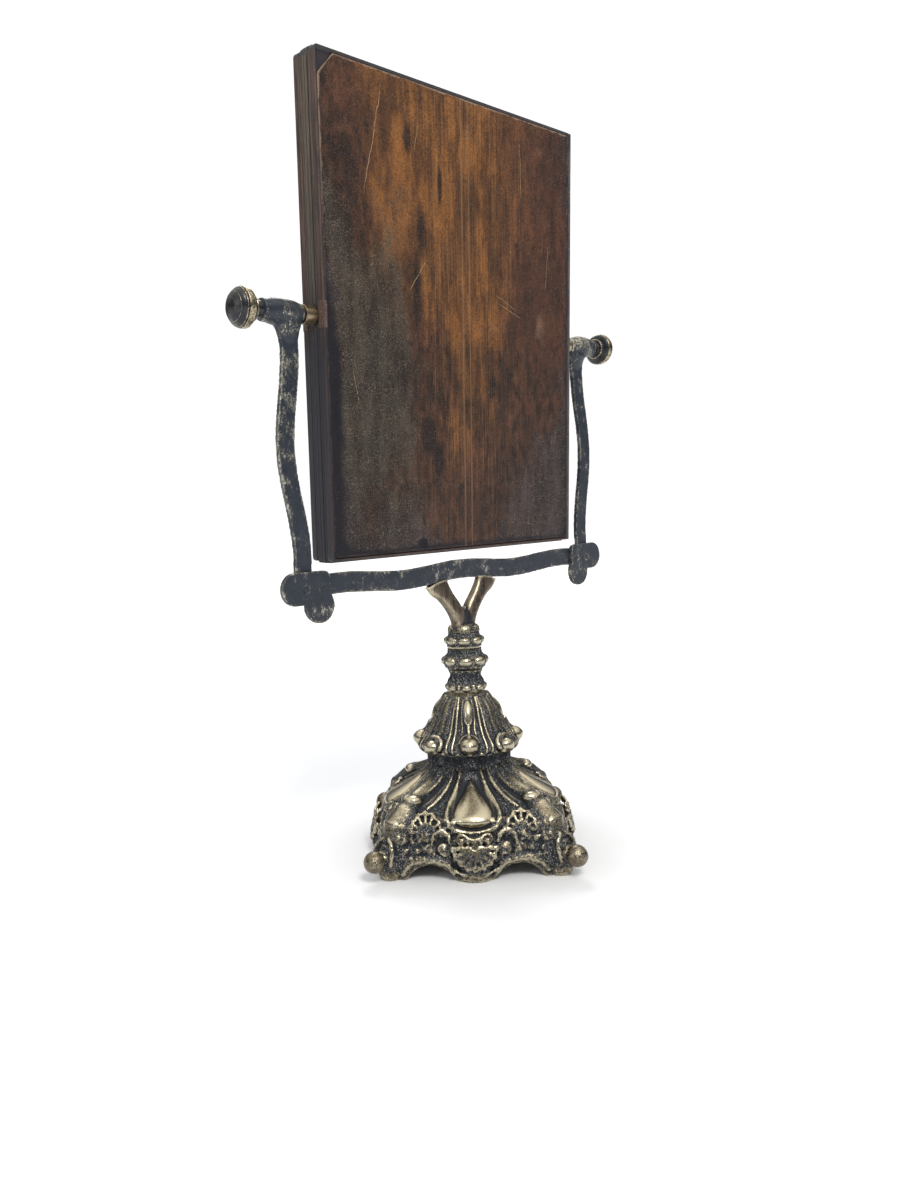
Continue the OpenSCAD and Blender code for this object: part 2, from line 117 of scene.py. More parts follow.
def through(points, steps=6):
    """A smooth path through points (Catmull-Rom), with steps pieces between each pair."""
    rows = [np.array(p, float) for p in points]
    rows = [2 * rows[0] - rows[1]] + rows + [2 * rows[-1] - rows[-2]]
    path = []
    for a, b, c, d in zip(rows, rows[1:], rows[2:], rows[3:]):
        for i in range(steps):
            t = i / steps
            path.append(0.5 * (2 * b + (c - a) * t + (2 * a - 5 * b + 4 * c - d) * t ** 2
                               + (3 * b - a - 3 * c + d) * t ** 3))
    path.append(rows[-2])
    return [[float(value) for value in point] for point in path]


# ---------- closed skins ----------

class Form:
    """A set of closed skins in millimetres, which becomes one mesh."""

    def __init__(self):
        self.points = []
        self.faces = []

    def add(self, points, faces):
        start = len(self.points)
        self.points += [tuple(p) for p in points]
        self.faces += [tuple(start + i for i in face) for face in faces]

    def loft(self, rings):
        """A skin over closed rings of equal length, capped at both ends."""
        n = len(rings[0])
        last = (len(rings) - 1) * n
        faces = [
            (r * n + i, r * n + (i + 1) % n, (r + 1) * n + (i + 1) % n, (r + 1) * n + i)
            for r in range(len(rings) - 1)
            for i in range(n)
        ]
        faces.append(tuple(reversed(range(n))))
        faces.append(tuple(range(last, last + n)))
        self.add([p for ring in rings for p in ring], faces)

    def rod(self, path, radii, sides=8):
        """A round bar along path, with a radius for each point and rounded ends."""
        path = [Vector(p) for p in path]
        radii = [float(r) for r in radii]
        first, final = (path[0] - path[1]).normalized(), (path[-1] - path[-2]).normalized()
        stops = [(path[0] + first * radii[0] * 0.9, radii[0] * 0.3),
                 (path[0] + first * radii[0] * 0.6, radii[0] * 0.8)]
        stops += list(zip(path, radii))
        stops += [(path[-1] + final * radii[-1] * 0.6, radii[-1] * 0.8),
                  (path[-1] + final * radii[-1] * 0.9, radii[-1] * 0.3)]
        rings, side = [], None
        for i, (p, r) in enumerate(stops):
            along = (stops[min(i + 1, len(stops) - 1)][0] - stops[max(i - 1, 0)][0]).normalized()
            side = along.orthogonal() if side is None else side - along * side.dot(along)
            side.normalize()
            up = along.cross(side)
            turns = [2 * math.pi * k / sides for k in range(sides)]
            rings.append([p + r * (math.cos(a) * side + math.sin(a) * up) for a in turns])
        self.loft(rings)

    def ball(self, centre, radii, turn=0.0, sides=16):
        """An egg shape with its own radius along X, Y and Z, turned about Z by an angle in degrees."""
        if not hasattr(radii, "__len__"):
            radii = (radii,) * 3
        about = Matrix.Rotation(math.radians(turn), 3, "Z")
        rings = []
        for i in range(sides // 2 + 1):
            polar = math.pi * (0.03 + 0.94 * i / (sides // 2))
            rings.append([
                Vector(centre) + about @ Vector((
                    radii[0] * math.sin(polar) * math.cos(2 * math.pi * k / sides),
                    radii[1] * math.sin(polar) * math.sin(2 * math.pi * k / sides),
                    radii[2] * math.cos(polar),
                ))
                for k in range(sides)
            ])
        self.loft(rings)

    def turned(self, profile, sides=96):
        """A lathe shape about Z through (radius, height) points."""
        self.loft([
            [(max(r, 0.05) * math.cos(2 * math.pi * k / sides),
              max(r, 0.05) * math.sin(2 * math.pi * k / sides), z)
             for k in range(sides)]
            for r, z in profile
        ])

    def repeat(self, other, count, first=0.0):
        """Copies of another form, evenly turned about Z."""
        for i in range(count):
            about = Matrix.Rotation(math.radians(first + 360 * i / count), 3, "Z")
            self.add([about @ Vector(p) for p in other.points], other.faces)

    def mesh(self, name, matrix=None):
        matrix = matrix or Matrix.Identity(4)
        mesh = bpy.data.meshes.new(name)
        mesh.from_pydata([(matrix @ Vector(p)) * MM for p in self.points], [], self.faces)
        return mesh


# ---------- pieces ----------

def put(name, mesh, body, slot, material, *nodes, soft=True):
    """Places a finished mesh as a piece that rides on a body and stands for CAD nodes."""
    piece = bpy.data.objects.new(name, mesh)
    bpy.context.scene.collection.objects.link(piece)
    mesh.materials.clear()
    mesh.materials.append(material)
    for face in mesh.polygons:
        face.use_smooth = soft
    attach(piece, body)
    if nodes:
        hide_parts(*nodes)
    return piece


def baked(mesh, *settings):
    """The mesh with modifiers applied; each setting is (kind, {property: value})."""
    rough = bpy.data.objects.new("rough", mesh)
    bpy.context.scene.collection.objects.link(rough)
    for i, (kind, values) in enumerate(settings):
        modifier = rough.modifiers.new(f"{kind}{i}", kind)
        for key, value in values.items():
            setattr(modifier, key, value)
    bpy.context.view_layer.update()
    found = rough.evaluated_get(bpy.context.evaluated_depsgraph_get())
    result = bpy.data.meshes.new_from_object(found)
    bpy.data.objects.remove(rough)
    bpy.data.meshes.remove(mesh)
    return result


def cast(mesh, voxel, rounds=3):
    """Melts closed skins into one smooth surface. voxel is the grain of the surface in millimetres."""
    return baked(
        mesh,
        ("REMESH", {"mode": "VOXEL", "voxel_size": voxel * MM, "use_smooth_shade": True}),
        ("SMOOTH", {"factor": 0.5, "iterations": rounds}),
    )


def thinned(mesh, most):
    """The mesh with its flatter faces merged until it has at most this many triangles."""
    triangles = sum(polygon.loop_total - 2 for polygon in mesh.polygons)
    return baked(mesh, ("DECIMATE", {"ratio": min(1.0, most / triangles)}))


def coordinates(mesh):
    co = np.zeros(len(mesh.vertices) * 3)
    mesh.vertices.foreach_get("co", co)
    return co.reshape(-1, 3)


def mark(mesh, name, values):
    """Stores one number for each point, for a material to read."""
    attribute = mesh.attributes.get(name) or mesh.attributes.new(name, "FLOAT", "POINT")
    attribute.data.foreach_set("value", np.asarray(values, np.float32))


def mark_relief(mesh, depth, wide_depth, rounds=30, wide_rounds=260):
    """Marks how far each point stands above its surroundings: 0 in a hollow, 0.5 flat, 1 on a crest.

    The surroundings spread a few steps for the fine relief and many for the broad;
    the depths are the heights
    in millimetres that count as full."""
    co = coordinates(mesh)
    ends = np.zeros(len(mesh.edges) * 2, np.int64)
    mesh.edges.foreach_get("vertices", ends)
    a, b = ends.reshape(-1, 2).T
    count = len(co)
    share = np.maximum(np.bincount(a, minlength=count) + np.bincount(b, minlength=count), 1)
    normal = np.zeros(count * 3, np.float32)
    mesh.vertex_normals.foreach_get("vector", normal)
    normal = normal.reshape(-1, 3)
    spread, level = co.copy(), np.full(count, 0.5)
    for i in range(1, wide_rounds + 1):
        for axis in range(3):
            total = np.bincount(a, spread[b, axis], count) + np.bincount(b, spread[a, axis], count)
            spread[:, axis] = 0.4 * spread[:, axis] + 0.6 * total / share
        if i == rounds:
            level += 0.32 * np.clip(((co - spread) * normal).sum(1) / MM / depth, -1.2, 1.2)
    level += 0.26 * np.clip(((co - spread) * normal).sum(1) / MM / wide_depth, -1, 1)
    mark(mesh, "relief", np.clip(level, 0, 1))


def unevenness(mesh, size, amount):
    """Moves points a little by smooth noise, as a hand-finished surface wanders."""
    co = coordinates(mesh)
    moved = [Vector(p) + noise.noise_vector(Vector(p) / (size * MM)) * amount * MM for p in co]
    mesh.vertices.foreach_set("co", np.array(moved).ravel())
    mesh.update()


# ---------- node materials ----------

class Finish:
    """Builds one node material. Colours are linear RGB, sizes are millimetres."""

    def __init__(self, name):
        self.material = bpy.data.materials.new(name)
        self.material.use_nodes = True
        self.tree = self.material.node_tree
        self.shader = self.tree.nodes["Principled BSDF"]
        self.place = self.tree.nodes.new("ShaderNodeTexCoord").outputs["Object"]

    def link(self, value, socket):
        if isinstance(value, bpy.types.NodeSocket):
            self.tree.links.new(value, socket)
        elif hasattr(value, "__len__") and len(value) == 3 and socket.type == "RGBA":
            socket.default_value = (*value, 1)
        else:
            socket.default_value = value

    def node(self, kind, inputs=(), **settings):
        node = self.tree.nodes.new("ShaderNode" + kind)
        for key, value in settings.items():
            setattr(node, key, value)
        for key, value in dict(inputs).items():
            self.link(value, node.inputs[key])
        return node

    def attribute(self, name):
        return self.node("Attribute", attribute_name=name).outputs["Fac"]

    def scaled(self, size, shift=0.0):
        """Object coordinates divided by a size in millimetres, or by three of them."""
        sizes = size if hasattr(size, "__len__") else (size,) * 3
        return self.node("Mapping", {
            "Vector": self.place, "Scale": [1 / (s * MM) for s in sizes], "Location": (shift,) * 3,
        }).outputs["Vector"]

    def noise(self, size, detail=3.0, rough=0.55, shift=0.0, distort=0.0):
        return self.node("TexNoise", {
            "Vector": self.scaled(size, shift), "Scale": 1.0, "Detail": detail,
            "Roughness": rough, "Distortion": distort,
        }).outputs["Fac"]

    def cells(self, size, shift=0.0, feature="F1"):
        return self.node("TexVoronoi", {"Vector": self.scaled(size, shift), "Scale": 1.0},
                         feature=feature).outputs[0]

    def maths(self, kind, a, b=0.0):
        return self.node("Math", {0: a, 1: b}, operation=kind).outputs[0]

    def times(self, a, b):
        return self.maths("MULTIPLY", a, b)

    def plus(self, a, b):
        return self.maths("ADD", a, b)

    def step(self, value, start, end):
        """0 at start, 1 at end, smooth between; start may be the higher one."""
        flipped = start > end
        found = self.node("MapRange", {
            "Value": value, "From Min": min(start, end), "From Max": max(start, end),
            "To Min": 1.0 if flipped else 0.0, "To Max": 0.0 if flipped else 1.0,
        }, interpolation_type="SMOOTHSTEP")
        return found.outputs["Result"]

    def range(self, value, to_low, to_high, from_low=0.0, from_high=1.0):
        return self.node("MapRange", {
            "Value": value, "From Min": from_low, "From Max": from_high, "To Min": to_low,
            "To Max": to_high,
        }).outputs["Result"]

    def mix(self, share, a, b, kind="MIX"):
        node = self.tree.nodes.new("ShaderNodeMix")
        node.data_type, node.blend_type = "RGBA", kind
        colours = [s for s in node.inputs if s.type == "RGBA"]
        self.link(share, node.inputs[0])
        self.link(a, colours[0])
        self.link(b, colours[1])
        return next(s for s in node.outputs if s.type == "RGBA")

    def wild(self, value):
        """A noise spread out to run from -1 to 1."""
        return self.range(value, -1.0, 1.0, 0.3, 0.7)

    def stroke(self, start, end, width):
        """A scratch between two (x, z) points in millimetres, broken here and there."""
        (x0, z0), (x1, z1) = start, end
        length = math.hypot(x1 - x0, z1 - z0)
        turned = self.node("Mapping", {
            "Vector": self.place, "Location": (x0 * MM, 0, z0 * MM),
            "Rotation": (0, math.atan2(x1 - x0, z1 - z0), 0), "Scale": (MM, MM, MM),
        }, vector_type="TEXTURE").outputs["Vector"]
        parts = self.node("SeparateXYZ", {"Vector": turned})
        waver = self.times(self.wild(self.noise(9, 2, shift=start[0])), 0.5)
        off = self.maths("ABSOLUTE", self.plus(parts.outputs["X"], waver))
        line = self.times(self.step(off, width, width * 0.25),
                          self.step(parts.outputs["Z"], 0, length * 0.2))
        line = self.times(line, self.step(parts.outputs["Z"], length, length * 0.8))
        return self.times(line, self.step(self.noise(1.8, 2, shift=end[0]), 0.30, 0.48))

    def bump(self, height, depth, under=None):
        """A bump of some depth in millimetres, over another one."""
        inputs = {"Height": height, "Distance": depth * MM, "Strength": 1.0}
        if under:
            inputs["Normal"] = under
        return self.node("Bump", inputs).outputs["Normal"]

    def done(self, colour, roughness, metallic=0.0, normal=None, **constants):
        self.link(colour, self.shader.inputs["Base Color"])
        self.link(roughness, self.shader.inputs["Roughness"])
        self.link(metallic, self.shader.inputs["Metallic"])
        if normal:
            self.link(normal, self.shader.inputs["Normal"])
        for key, value in constants.items():
            self.shader.inputs[key.replace("_", " ")].default_value = value
        return self.material


def bronze(name, bright=0.5, warm=(0.165, 0.138, 0.092), speckle=0.75):
    """Cast bronze: brass shows on the crests, and a blue-black patina lies in the hollows."""
    f = Finish(name)
    relief = f.attribute("relief")
    grain = f.noise(0.8, 4, rough=0.65)
    cloud = f.noise(8, 3, shift=4)
    pits = f.cells(1.0)
    polish = f.attribute("polish")
    level = f.plus(relief, f.times(f.times(f.wild(grain), 0.10), f.range(polish, 1.0, 0.3)))
    level = f.plus(level, f.times(f.wild(cloud), 0.10))
    level = f.plus(level, f.times(polish, 0.34))
    # Unrubbed patina and painted shade: darker under rims, in the waists and in the crotch of the fork.
    level = f.plus(level, f.times(f.attribute("patina_and_shade"), -0.30))
    show = f.step(level, bright - 0.03, bright + 0.17)
    patina = f.mix(f.noise(4, 2, shift=9), (0.004, 0.007, 0.013), (0.020, 0.024, 0.031))
    brass = f.mix(f.step(cloud, 0.35, 0.65), warm, (0.095, 0.082, 0.060))
    rubbed = f.step(level, bright + 0.17, bright + 0.40)
    brass = f.mix(rubbed, brass, (0.45, 0.405, 0.295))
    colour = f.mix(show, patina, brass)
    # Painted highlights: pale grey specks on the middle ground of the relief, kept off hollows, crests and
    # polished parts; speckle sets their strength.
    painted_glint_specks = f.times(f.step(f.noise(0.75, 3, shift=2), 0.53, 0.64), f.step(relief, 0.16, 0.34))
    painted_glint_specks = f.times(f.times(painted_glint_specks, f.step(relief, 0.74, 0.60)), f.step(polish, 0.5, 0.1))
    colour = f.mix(f.times(painted_glint_specks, speckle), colour, (0.42, 0.41, 0.37))
    rough = f.range(show, 0.55, 0.27)
    rough = f.plus(rough, f.times(f.wild(grain), 0.07))
    height = f.plus(f.times(grain, 0.6), f.times(pits, 0.4))
    normal = f.bump(f.times(height, f.range(rubbed, 1.0, 0.12)), 0.30)
    metal = f.times(f.range(show, 0.5, 1.0), f.range(painted_glint_specks, 1.0, 0.3))
    return f.done(colour, rough, metal, normal)


def fork_brass(name):
    """Brown, handled brass with fine vertical rubbing."""
    f = Finish(name)
    cloud = f.noise((5, 5, 12), 4)
    fine = f.noise((0.7, 0.7, 2.2), 4, shift=3)
    relief = f.attribute("relief")
    colour = f.mix(f.step(cloud, 0.35, 0.66), (0.045, 0.034, 0.027), (0.135, 0.105, 0.078))
    edge = f.step(f.plus(relief, f.times(fine, 0.25)), 0.66, 0.86)
    colour = f.mix(edge, colour, (0.58, 0.50, 0.37))
    # Painted shade, with patina in the hollows: near-black in the low relief, in the crotch of the prongs
    # and where they enter the cap.
    dark = f.step(f.plus(relief, f.times(cloud, 0.25)), 0.55, 0.36)
    dark = f.maths("MAXIMUM", dark,
                   f.step(f.plus(f.attribute("patina_and_shade"), f.times(f.wild(fine), 0.3)), 0.35, 0.65))
    colour = f.mix(dark, colour, (0.014, 0.017, 0.024))
    rough = f.range(cloud, 0.32, 0.52)
    return f.done(colour, rough, f.range(dark, 0.95, 0.4), f.bump(fine, 0.09))


def worn_paint(name, chips=0.5):
    """Blue-black paint over cast metal, chipped to bare metal along edges and where hands have been."""
    f = Finish(name)
    relief = f.attribute("relief")
    wear = f.attribute("wear")
    cloud = f.noise(9, 4, rough=0.6)
    broken = f.noise((1.5, 1.5, 3.0), 6, rough=0.80, shift=7, distort=0.6)
    fine = f.noise(0.50, 4, shift=1)
    level = f.plus(f.times(broken, 0.66), f.times(fine, 0.34))
    level = f.plus(level, f.times(f.range(relief, -0.5, 0.5), 0.30))
    level = f.plus(level, f.times(f.wild(cloud), 0.11))
    level = f.plus(level, f.times(wear, 0.20))
    bare = f.step(level, chips + 0.125, chips + 0.155)
    thin = f.step(level, chips + 0.05, chips + 0.13)
    coat = f.mix(f.noise(5, 3, shift=2), (0.011, 0.015, 0.025), (0.032, 0.039, 0.050))
    coat = f.mix(f.times(thin, 0.7), coat, (0.070, 0.070, 0.064))
    metal = f.mix(f.step(f.noise(1.6, 3, shift=5), 0.40, 0.60), (0.46, 0.44, 0.38), (0.17, 0.155, 0.125))
    colour = f.mix(bare, coat, metal)
    rough = f.plus(f.range(bare, 0.36, 0.44), f.times(f.range(fine, -0.5, 0.5), 0.22))
    height = f.plus(f.times(bare, -0.55), f.times(broken, 0.45))
    return f.done(colour, rough, f.range(bare, 0.0, 0.8), f.bump(height, 0.16), Specular_IOR_Level=0.30)


def knob_metal(name):
    """Brass under dark lacquer: the band marks where the lacquer has gone."""
    f = Finish(name)
    band = f.attribute("band")
    broken = f.noise(1.1, 5, rough=0.65)
    cloud = f.noise(6, 3, shift=3)
    level = f.plus(band, f.times(f.range(broken, -0.5, 0.5), 0.9))
    level = f.plus(level, f.times(f.range(cloud, -0.5, 0.5), 0.5))
    bare = f.step(level, 0.52, 0.66)
    lacquer = f.mix(f.step(cloud, 0.4, 0.7), (0.012, 0.014, 0.019), (0.045, 0.040, 0.034))
    brass = f.mix(f.step(f.noise(1.1, 4, shift=6), 0.40, 0.60), (0.42, 0.36, 0.25), (0.105, 0.088, 0.062))
    colour = f.mix(bare, lacquer, brass)
    rough = f.range(broken, 0.22, 0.46)
    return f.done(colour, rough, f.range(bare, 0.35, 1.0), f.bump(f.times(bare, -1.0), 0.06))


def ferrule_brass(name):
    f = Finish(name)
    cloud = f.noise((6, 3, 3), 4)
    turned = f.noise((0.35, 40, 40), 2, shift=3)
    colour = f.mix(f.step(cloud, 0.35, 0.65), (0.22, 0.165, 0.100), (0.42, 0.34, 0.225))
    colour = f.mix(f.step(f.attribute("band"), 0.4, 0.7), colour, (0.03, 0.024, 0.018))
    return f.done(colour, f.range(cloud, 0.24, 0.42), 0.95, f.bump(turned, 0.05))


def steel(name):
    f = Finish(name)
    cloud = f.noise(3, 4)
    colour = f.mix(f.step(cloud, 0.45, 0.7), (0.36, 0.36, 0.37), (0.14, 0.10, 0.075))
    return f.done(colour, f.range(cloud, 0.32, 0.6), 0.9, f.bump(f.noise(0.5, 3), 0.05))


def clip_metal(name):
    """A pinkish-brown tab, rubbed pale in patches."""
    f = Finish(name)
    cloud = f.noise(2.2, 4)
    colour = f.mix(cloud, (0.055, 0.034, 0.027), (0.150, 0.098, 0.078))
    colour = f.mix(f.step(f.noise(0.7, 3, shift=4), 0.60, 0.70), colour, (0.50, 0.42, 0.36))
    return f.done(colour, f.range(cloud, 0.35, 0.6), 0.35, f.bump(cloud, 0.1))


def leather_panel(name, shift=0.0, strokes=()):
    """Old calf on the covers: golden where it has been rubbed, grey and violet where it has darkened and,
    at the left and bottom, partly as a painted reflection; painted shade along its edges and painted glints
    on the grain.
    """
    f = Finish(name)
    zone = f.attribute("streaks")
    mottle = f.noise(20, 5, rough=0.62, shift=shift + 1)
    patch = f.noise((6, 6, 11), 4, rough=0.62, shift=shift + 3)
    drift = f.noise((9, 9, 34), 4, rough=0.6, shift=shift + 14)
    broad = f.noise((4.0, 9, 80), 4, rough=0.6, shift=shift + 5)
    hair = f.noise((0.8, 9, 60), 4, rough=0.7, shift=shift + 8)
    grain = f.noise(1.25, 4, rough=0.68, shift=shift)
    speck = f.noise(0.55, 2, shift=shift + 2)
    unrest = f.plus(f.times(f.wild(mottle), 0.28), f.times(f.wild(patch), 0.14))
    unrest = f.plus(unrest, f.times(f.wild(drift), 0.17))
    flow = f.times(f.times(f.wild(broad), 0.30), zone)
    level = f.plus(f.plus(f.attribute("amber"), unrest), flow)
    brown = f.mix(f.step(patch, 0.36, 0.64), (0.026, 0.013, 0.009), (0.098, 0.040, 0.022))
    gold = f.mix(f.step(drift, 0.36, 0.64), (0.105, 0.042, 0.015), (0.275, 0.108, 0.028))
    colour = f.mix(f.step(level, 0.30, 1.0), brown, gold)
    rust = f.step(f.plus(f.attribute("rust"), f.times(f.wild(drift), 0.35)), 0.30, 0.95)
    colour = f.mix(f.times(rust, 0.55), colour, f.mix(patch, (0.050, 0.020, 0.014), (0.170, 0.066, 0.036)))
    olive = f.mix(f.step(drift, 0.34, 0.66), (0.018, 0.016, 0.013), (0.070, 0.060, 0.045))
    violet = f.mix(f.step(drift, 0.34, 0.66), (0.014, 0.010, 0.013), (0.060, 0.044, 0.048))
    # Greying and painted reflection: olive or violet grey, partly real darkening, partly a painted grey
    # reflection at the left, foot and right.
    dull = f.step(f.plus(f.attribute("dull"), unrest), 0.25, 0.85)
    cool = f.step(f.plus(f.attribute("cool"), f.times(f.wild(mottle), 0.3)), 0.3, 0.7)
    colour = f.mix(f.times(dull, 0.88), colour, f.mix(cool, olive, violet))
    lines = f.times(f.step(hair, 0.52, 0.66), zone)
    colour = f.mix(f.times(lines, 0.42), colour, (0.360, 0.175, 0.075))
    lines_dark = f.times(f.step(hair, 0.47, 0.34), zone)
    colour = f.mix(f.times(lines_dark, 0.72), colour, (0.022, 0.011, 0.008))
    smudge = f.plus(f.attribute("stain"), f.plus(f.times(f.wild(patch), 0.22),
                                                 f.times(f.wild(broad), 0.16)))
    dark = f.step(smudge, 0.25, 0.85)
    colour = f.mix(f.times(dark, 0.86), colour, (0.010, 0.008, 0.009))
    # Painted shade: near-black navy along the fore-edge, the foot and the rim of the panel, and in the torn
    # notch.
    deep = f.step(f.plus(f.attribute("painted_shade"), f.times(f.wild(mottle), 0.14)), 0.15, 0.95)
    colour = f.mix(f.times(deep, 0.90), colour, (0.009, 0.010, 0.017))
    pale = f.step(f.plus(f.attribute("pale"), f.times(f.wild(patch), 0.3)), 0.35, 0.95)
    colour = f.mix(f.times(pale, 0.45), colour, (0.300, 0.170, 0.115))
    colour = f.mix(f.range(grain, 0.62, 0.0, 0.34, 0.56), colour, (0.010, 0.007, 0.007))
    veil = f.step(f.noise((30, 9, 42), 3, shift=shift + 23), 0.56, 0.40)
    colour = f.mix(f.times(veil, 0.38), colour, (0.012, 0.009, 0.010))
    crumbs = f.step(f.noise(2.2, 4, rough=0.7, shift=shift + 17), 0.64, 0.70)
    colour = f.mix(f.times(crumbs, 0.34), colour, (0.330, 0.150, 0.075))
    glint = f.times(f.step(speck, 0.54, 0.68), f.plus(0.28, f.times(dull, 0.36)))
    glint = f.times(glint, f.step(deep, 1.0, 0.2))
    colour = f.mix(glint, colour, (0.280, 0.225, 0.170))
    colour = f.mix(f.times(f.attribute("ridge"), 0.50), colour, (0.360, 0.205, 0.105))
    worn = f.plus(f.attribute("rim"), f.times(f.wild(patch), 0.8))
    worn = f.times(f.step(worn, 1.5, 0.4), f.attribute("edge_wear"))
    colour = f.mix(f.times(worn, 0.75), colour, (0.330, 0.230, 0.165))
    for start, end, width in strokes:
        colour = f.mix(f.times(f.stroke(start, end, width), 0.75), colour, (0.480, 0.330, 0.190))
    colour = f.mix(0.12, colour, (0, 0, 0))
    rough = f.plus(f.range(grain, 0.40, 0.58), f.times(f.wild(mottle), 0.06))
    pebble = f.cells(1.1, shift)
    height = f.plus(f.times(pebble, 0.5), f.times(grain, 0.5))
    normal = f.bump(f.times(height, f.range(zone, 1.0, 0.5)), 0.42)
    normal = f.bump(f.times(hair, zone), 0.14, normal)
    normal = f.bump(f.plus(patch, drift), 0.40, normal)
    return f.done(colour, rough, 0.0, normal, Specular_IOR_Level=0.20)


def leather_edge(name, light=(0.085, 0.048, 0.034), deep=(0.022, 0.014, 0.012)):
    """The turned-in leather on the rims and the spine, and the lining paper inside a cover."""
    f = Finish(name)
    along = f.noise((2, 2, 26), 4)
    grain = f.noise(0.9, 4, shift=3)
    painted_shade = f.attribute("painted_shade")
    colour = f.mix(f.step(along, 0.32, 0.70), deep, light)
    colour = f.mix(f.times(f.step(grain, 0.60, 0.72), 0.6), colour, (0.26, 0.17, 0.13))
    # Painted shade: blue-black at the album's lower fore-edge and top.
    colour = f.mix(f.times(f.step(f.plus(painted_shade, f.times(along, 0.4)), 0.4, 1.1), 0.85), colour,
                   (0.014, 0.014, 0.020))
    ragged = f.plus(f.attribute("lining"), f.times(f.wild(f.noise(3, 3, shift=6)), 0.10))
    lining = f.step(ragged, 0.0, 0.15)
    fox = f.noise(22, 5, shift=9)
    fibre = f.noise((1.2, 1.2, 5), 5, rough=0.7, shift=12)
    paper = f.mix(f.step(fox, 0.32, 0.68), (0.165, 0.110, 0.066), (0.300, 0.225, 0.145))
    paper = f.mix(f.times(f.step(fibre, 0.52, 0.66), 0.45), paper, (0.110, 0.070, 0.044))
    paper = f.mix(f.times(f.step(ragged, 1.9, 0.2), 0.5), paper, (0.075, 0.045, 0.028))
    colour = f.mix(lining, colour, paper)
    rough = f.plus(f.range(grain, 0.38, 0.62), f.times(lining, 0.2))
    normal = f.bump(f.plus(f.times(grain, 0.5), f.times(lining, -0.5)), 0.2)
    return f.done(colour, rough, 0.0, normal)


def card_edge(name):
    """Pasteboard: cream faces, and edges darkened with age in thin layers."""
    f = Finish(name)
    rim = f.attribute("rim")
    painted_shade = f.attribute("painted_shade")
    layers = f.noise((9, 0.85, 70), 4, rough=0.7, shift=2)
    fox = f.noise((26, 26, 34), 5, rough=0.70, shift=6)
    fibre = f.noise((0.6, 0.6, 3), 3, shift=4)
    page = f.mix(f.step(fox, 0.40, 0.72), (0.60, 0.51, 0.36), (0.44, 0.33, 0.20))
    page = f.mix(f.times(f.step(f.noise(1.8, 3, shift=8), 0.64, 0.72), 0.35), page, (0.30, 0.19, 0.10))
    page = f.mix(f.step(f.plus(rim, f.times(f.wild(fox), 4.0)), 13, 0.5), page, (0.24, 0.16, 0.09))
    edge = f.mix(f.step(layers, 0.36, 0.64), (0.018, 0.012, 0.010), (0.120, 0.088, 0.058))
    edge = f.mix(f.step(f.attribute("height"), 0.75, 0.35), edge,
                 f.mix(layers, (0.012, 0.010, 0.012), (0.060, 0.046, 0.044)))
    edge = f.mix(f.times(f.step(fibre, 0.58, 0.74), 0.4), edge, (0.20, 0.15, 0.11))
    # Painted shade: blue-black on the page edges at the album's lower fore-edge and top.
    edge = f.mix(f.times(f.step(f.plus(painted_shade, f.times(layers, 0.4)), 0.3, 1.0), 0.88), edge,
                 (0.012, 0.013, 0.019))
    turn = f.times(f.step(rim, 0.03, 0.20), f.step(rim, 0.80, 0.55))
    colour = f.mix(f.step(rim, 0.75, 0.35), page, edge)
    colour = f.mix(turn, colour, (0.007, 0.005, 0.005))
    height = f.plus(f.times(layers, 0.7), f.times(fibre, 0.3))
    return f.done(colour, f.range(fibre, 0.55, 0.8), 0.0, f.bump(height, 0.14))


def photo_paper(name):
    """A blank albumen card, darker towards its edges."""
    f = Finish(name)
    rim = f.attribute("rim")
    fox = f.noise(16, 5, shift=3)
    colour = f.mix(f.step(fox, 0.3, 0.7), (0.50, 0.37, 0.22), (0.60, 0.47, 0.31))
    colour = f.mix(f.step(rim, 26, 4), colour, (0.22, 0.135, 0.07))
    return f.done(colour, f.range(fox, 0.28, 0.42), 0.0, f.bump(f.noise(1.2, 3), 0.03))


MATERIALS = {
    "skirt": bronze("skirt_bronze", 0.545),
    "bell": bronze("bell_bronze", 0.55),
    "bead": bronze("bead_brass", 0.53),
    "ball": bronze("ball_brass", 0.56, (0.140, 0.112, 0.076), 0.3),
    "fork": fork_brass("fork_brass"),
    "paint": worn_paint("worn_paint"),
    "knob": knob_metal("knob_metal"),
    "ferrule": ferrule_brass("ferrule_brass"),
    "steel": steel("steel"),
    "clip": clip_metal("clip_metal"),
    "front_panel": leather_panel("front_leather", 0.0, (
        ((-63, 481), (-81, 410), 0.30), ((57, 473), (59, 430), 0.28), ((-29, 386), (-46, 364), 0.30),
        ((34, 366), (60, 357), 0.22), ((32, 371), (54, 362), 0.20), ((-92, 318), (-88, 296), 0.20),
        ((-36, 462), (-40, 440), 0.20), ((88, 410), (84, 376), 0.22),
    )),
    "rear_panel": leather_panel("rear_leather", 40.0),
    "board": leather_edge("board_leather"),
    "spine": leather_edge("spine_leather", (0.080, 0.072, 0.074), (0.034, 0.031, 0.034)),
    "card": card_edge("pasteboard"),
    "print": photo_paper("albumen_card"),
}


# ---------- base: the square skirt ----------

SWEEP_END = 36
SKIRT_WALL = 4


def skirt_half(z):
    """Distance from the axis to the middle of a face: a hollow sweep out to the border, then steep."""
    if z > SWEEP_END:
        return 24.5 + 31.5 * ((SKIRT_TOP - min(z, SKIRT_TOP)) / (SKIRT_TOP - SWEEP_END)) ** 1.75
    return 56 + 8.5 * math.sin(math.radians(90 * (SWEEP_END - z) / SWEEP_END))


def corner_reach(z):
    """Distance from the axis to a corner: it flares out well ahead of the faces."""
    return float(np.interp(z, (0, 14, 26, 35, 42, 48, 53, 58, SKIRT_TOP),
                           (81, 82, 79, 73.5, 63, 49, 38, 30, 26.5)))


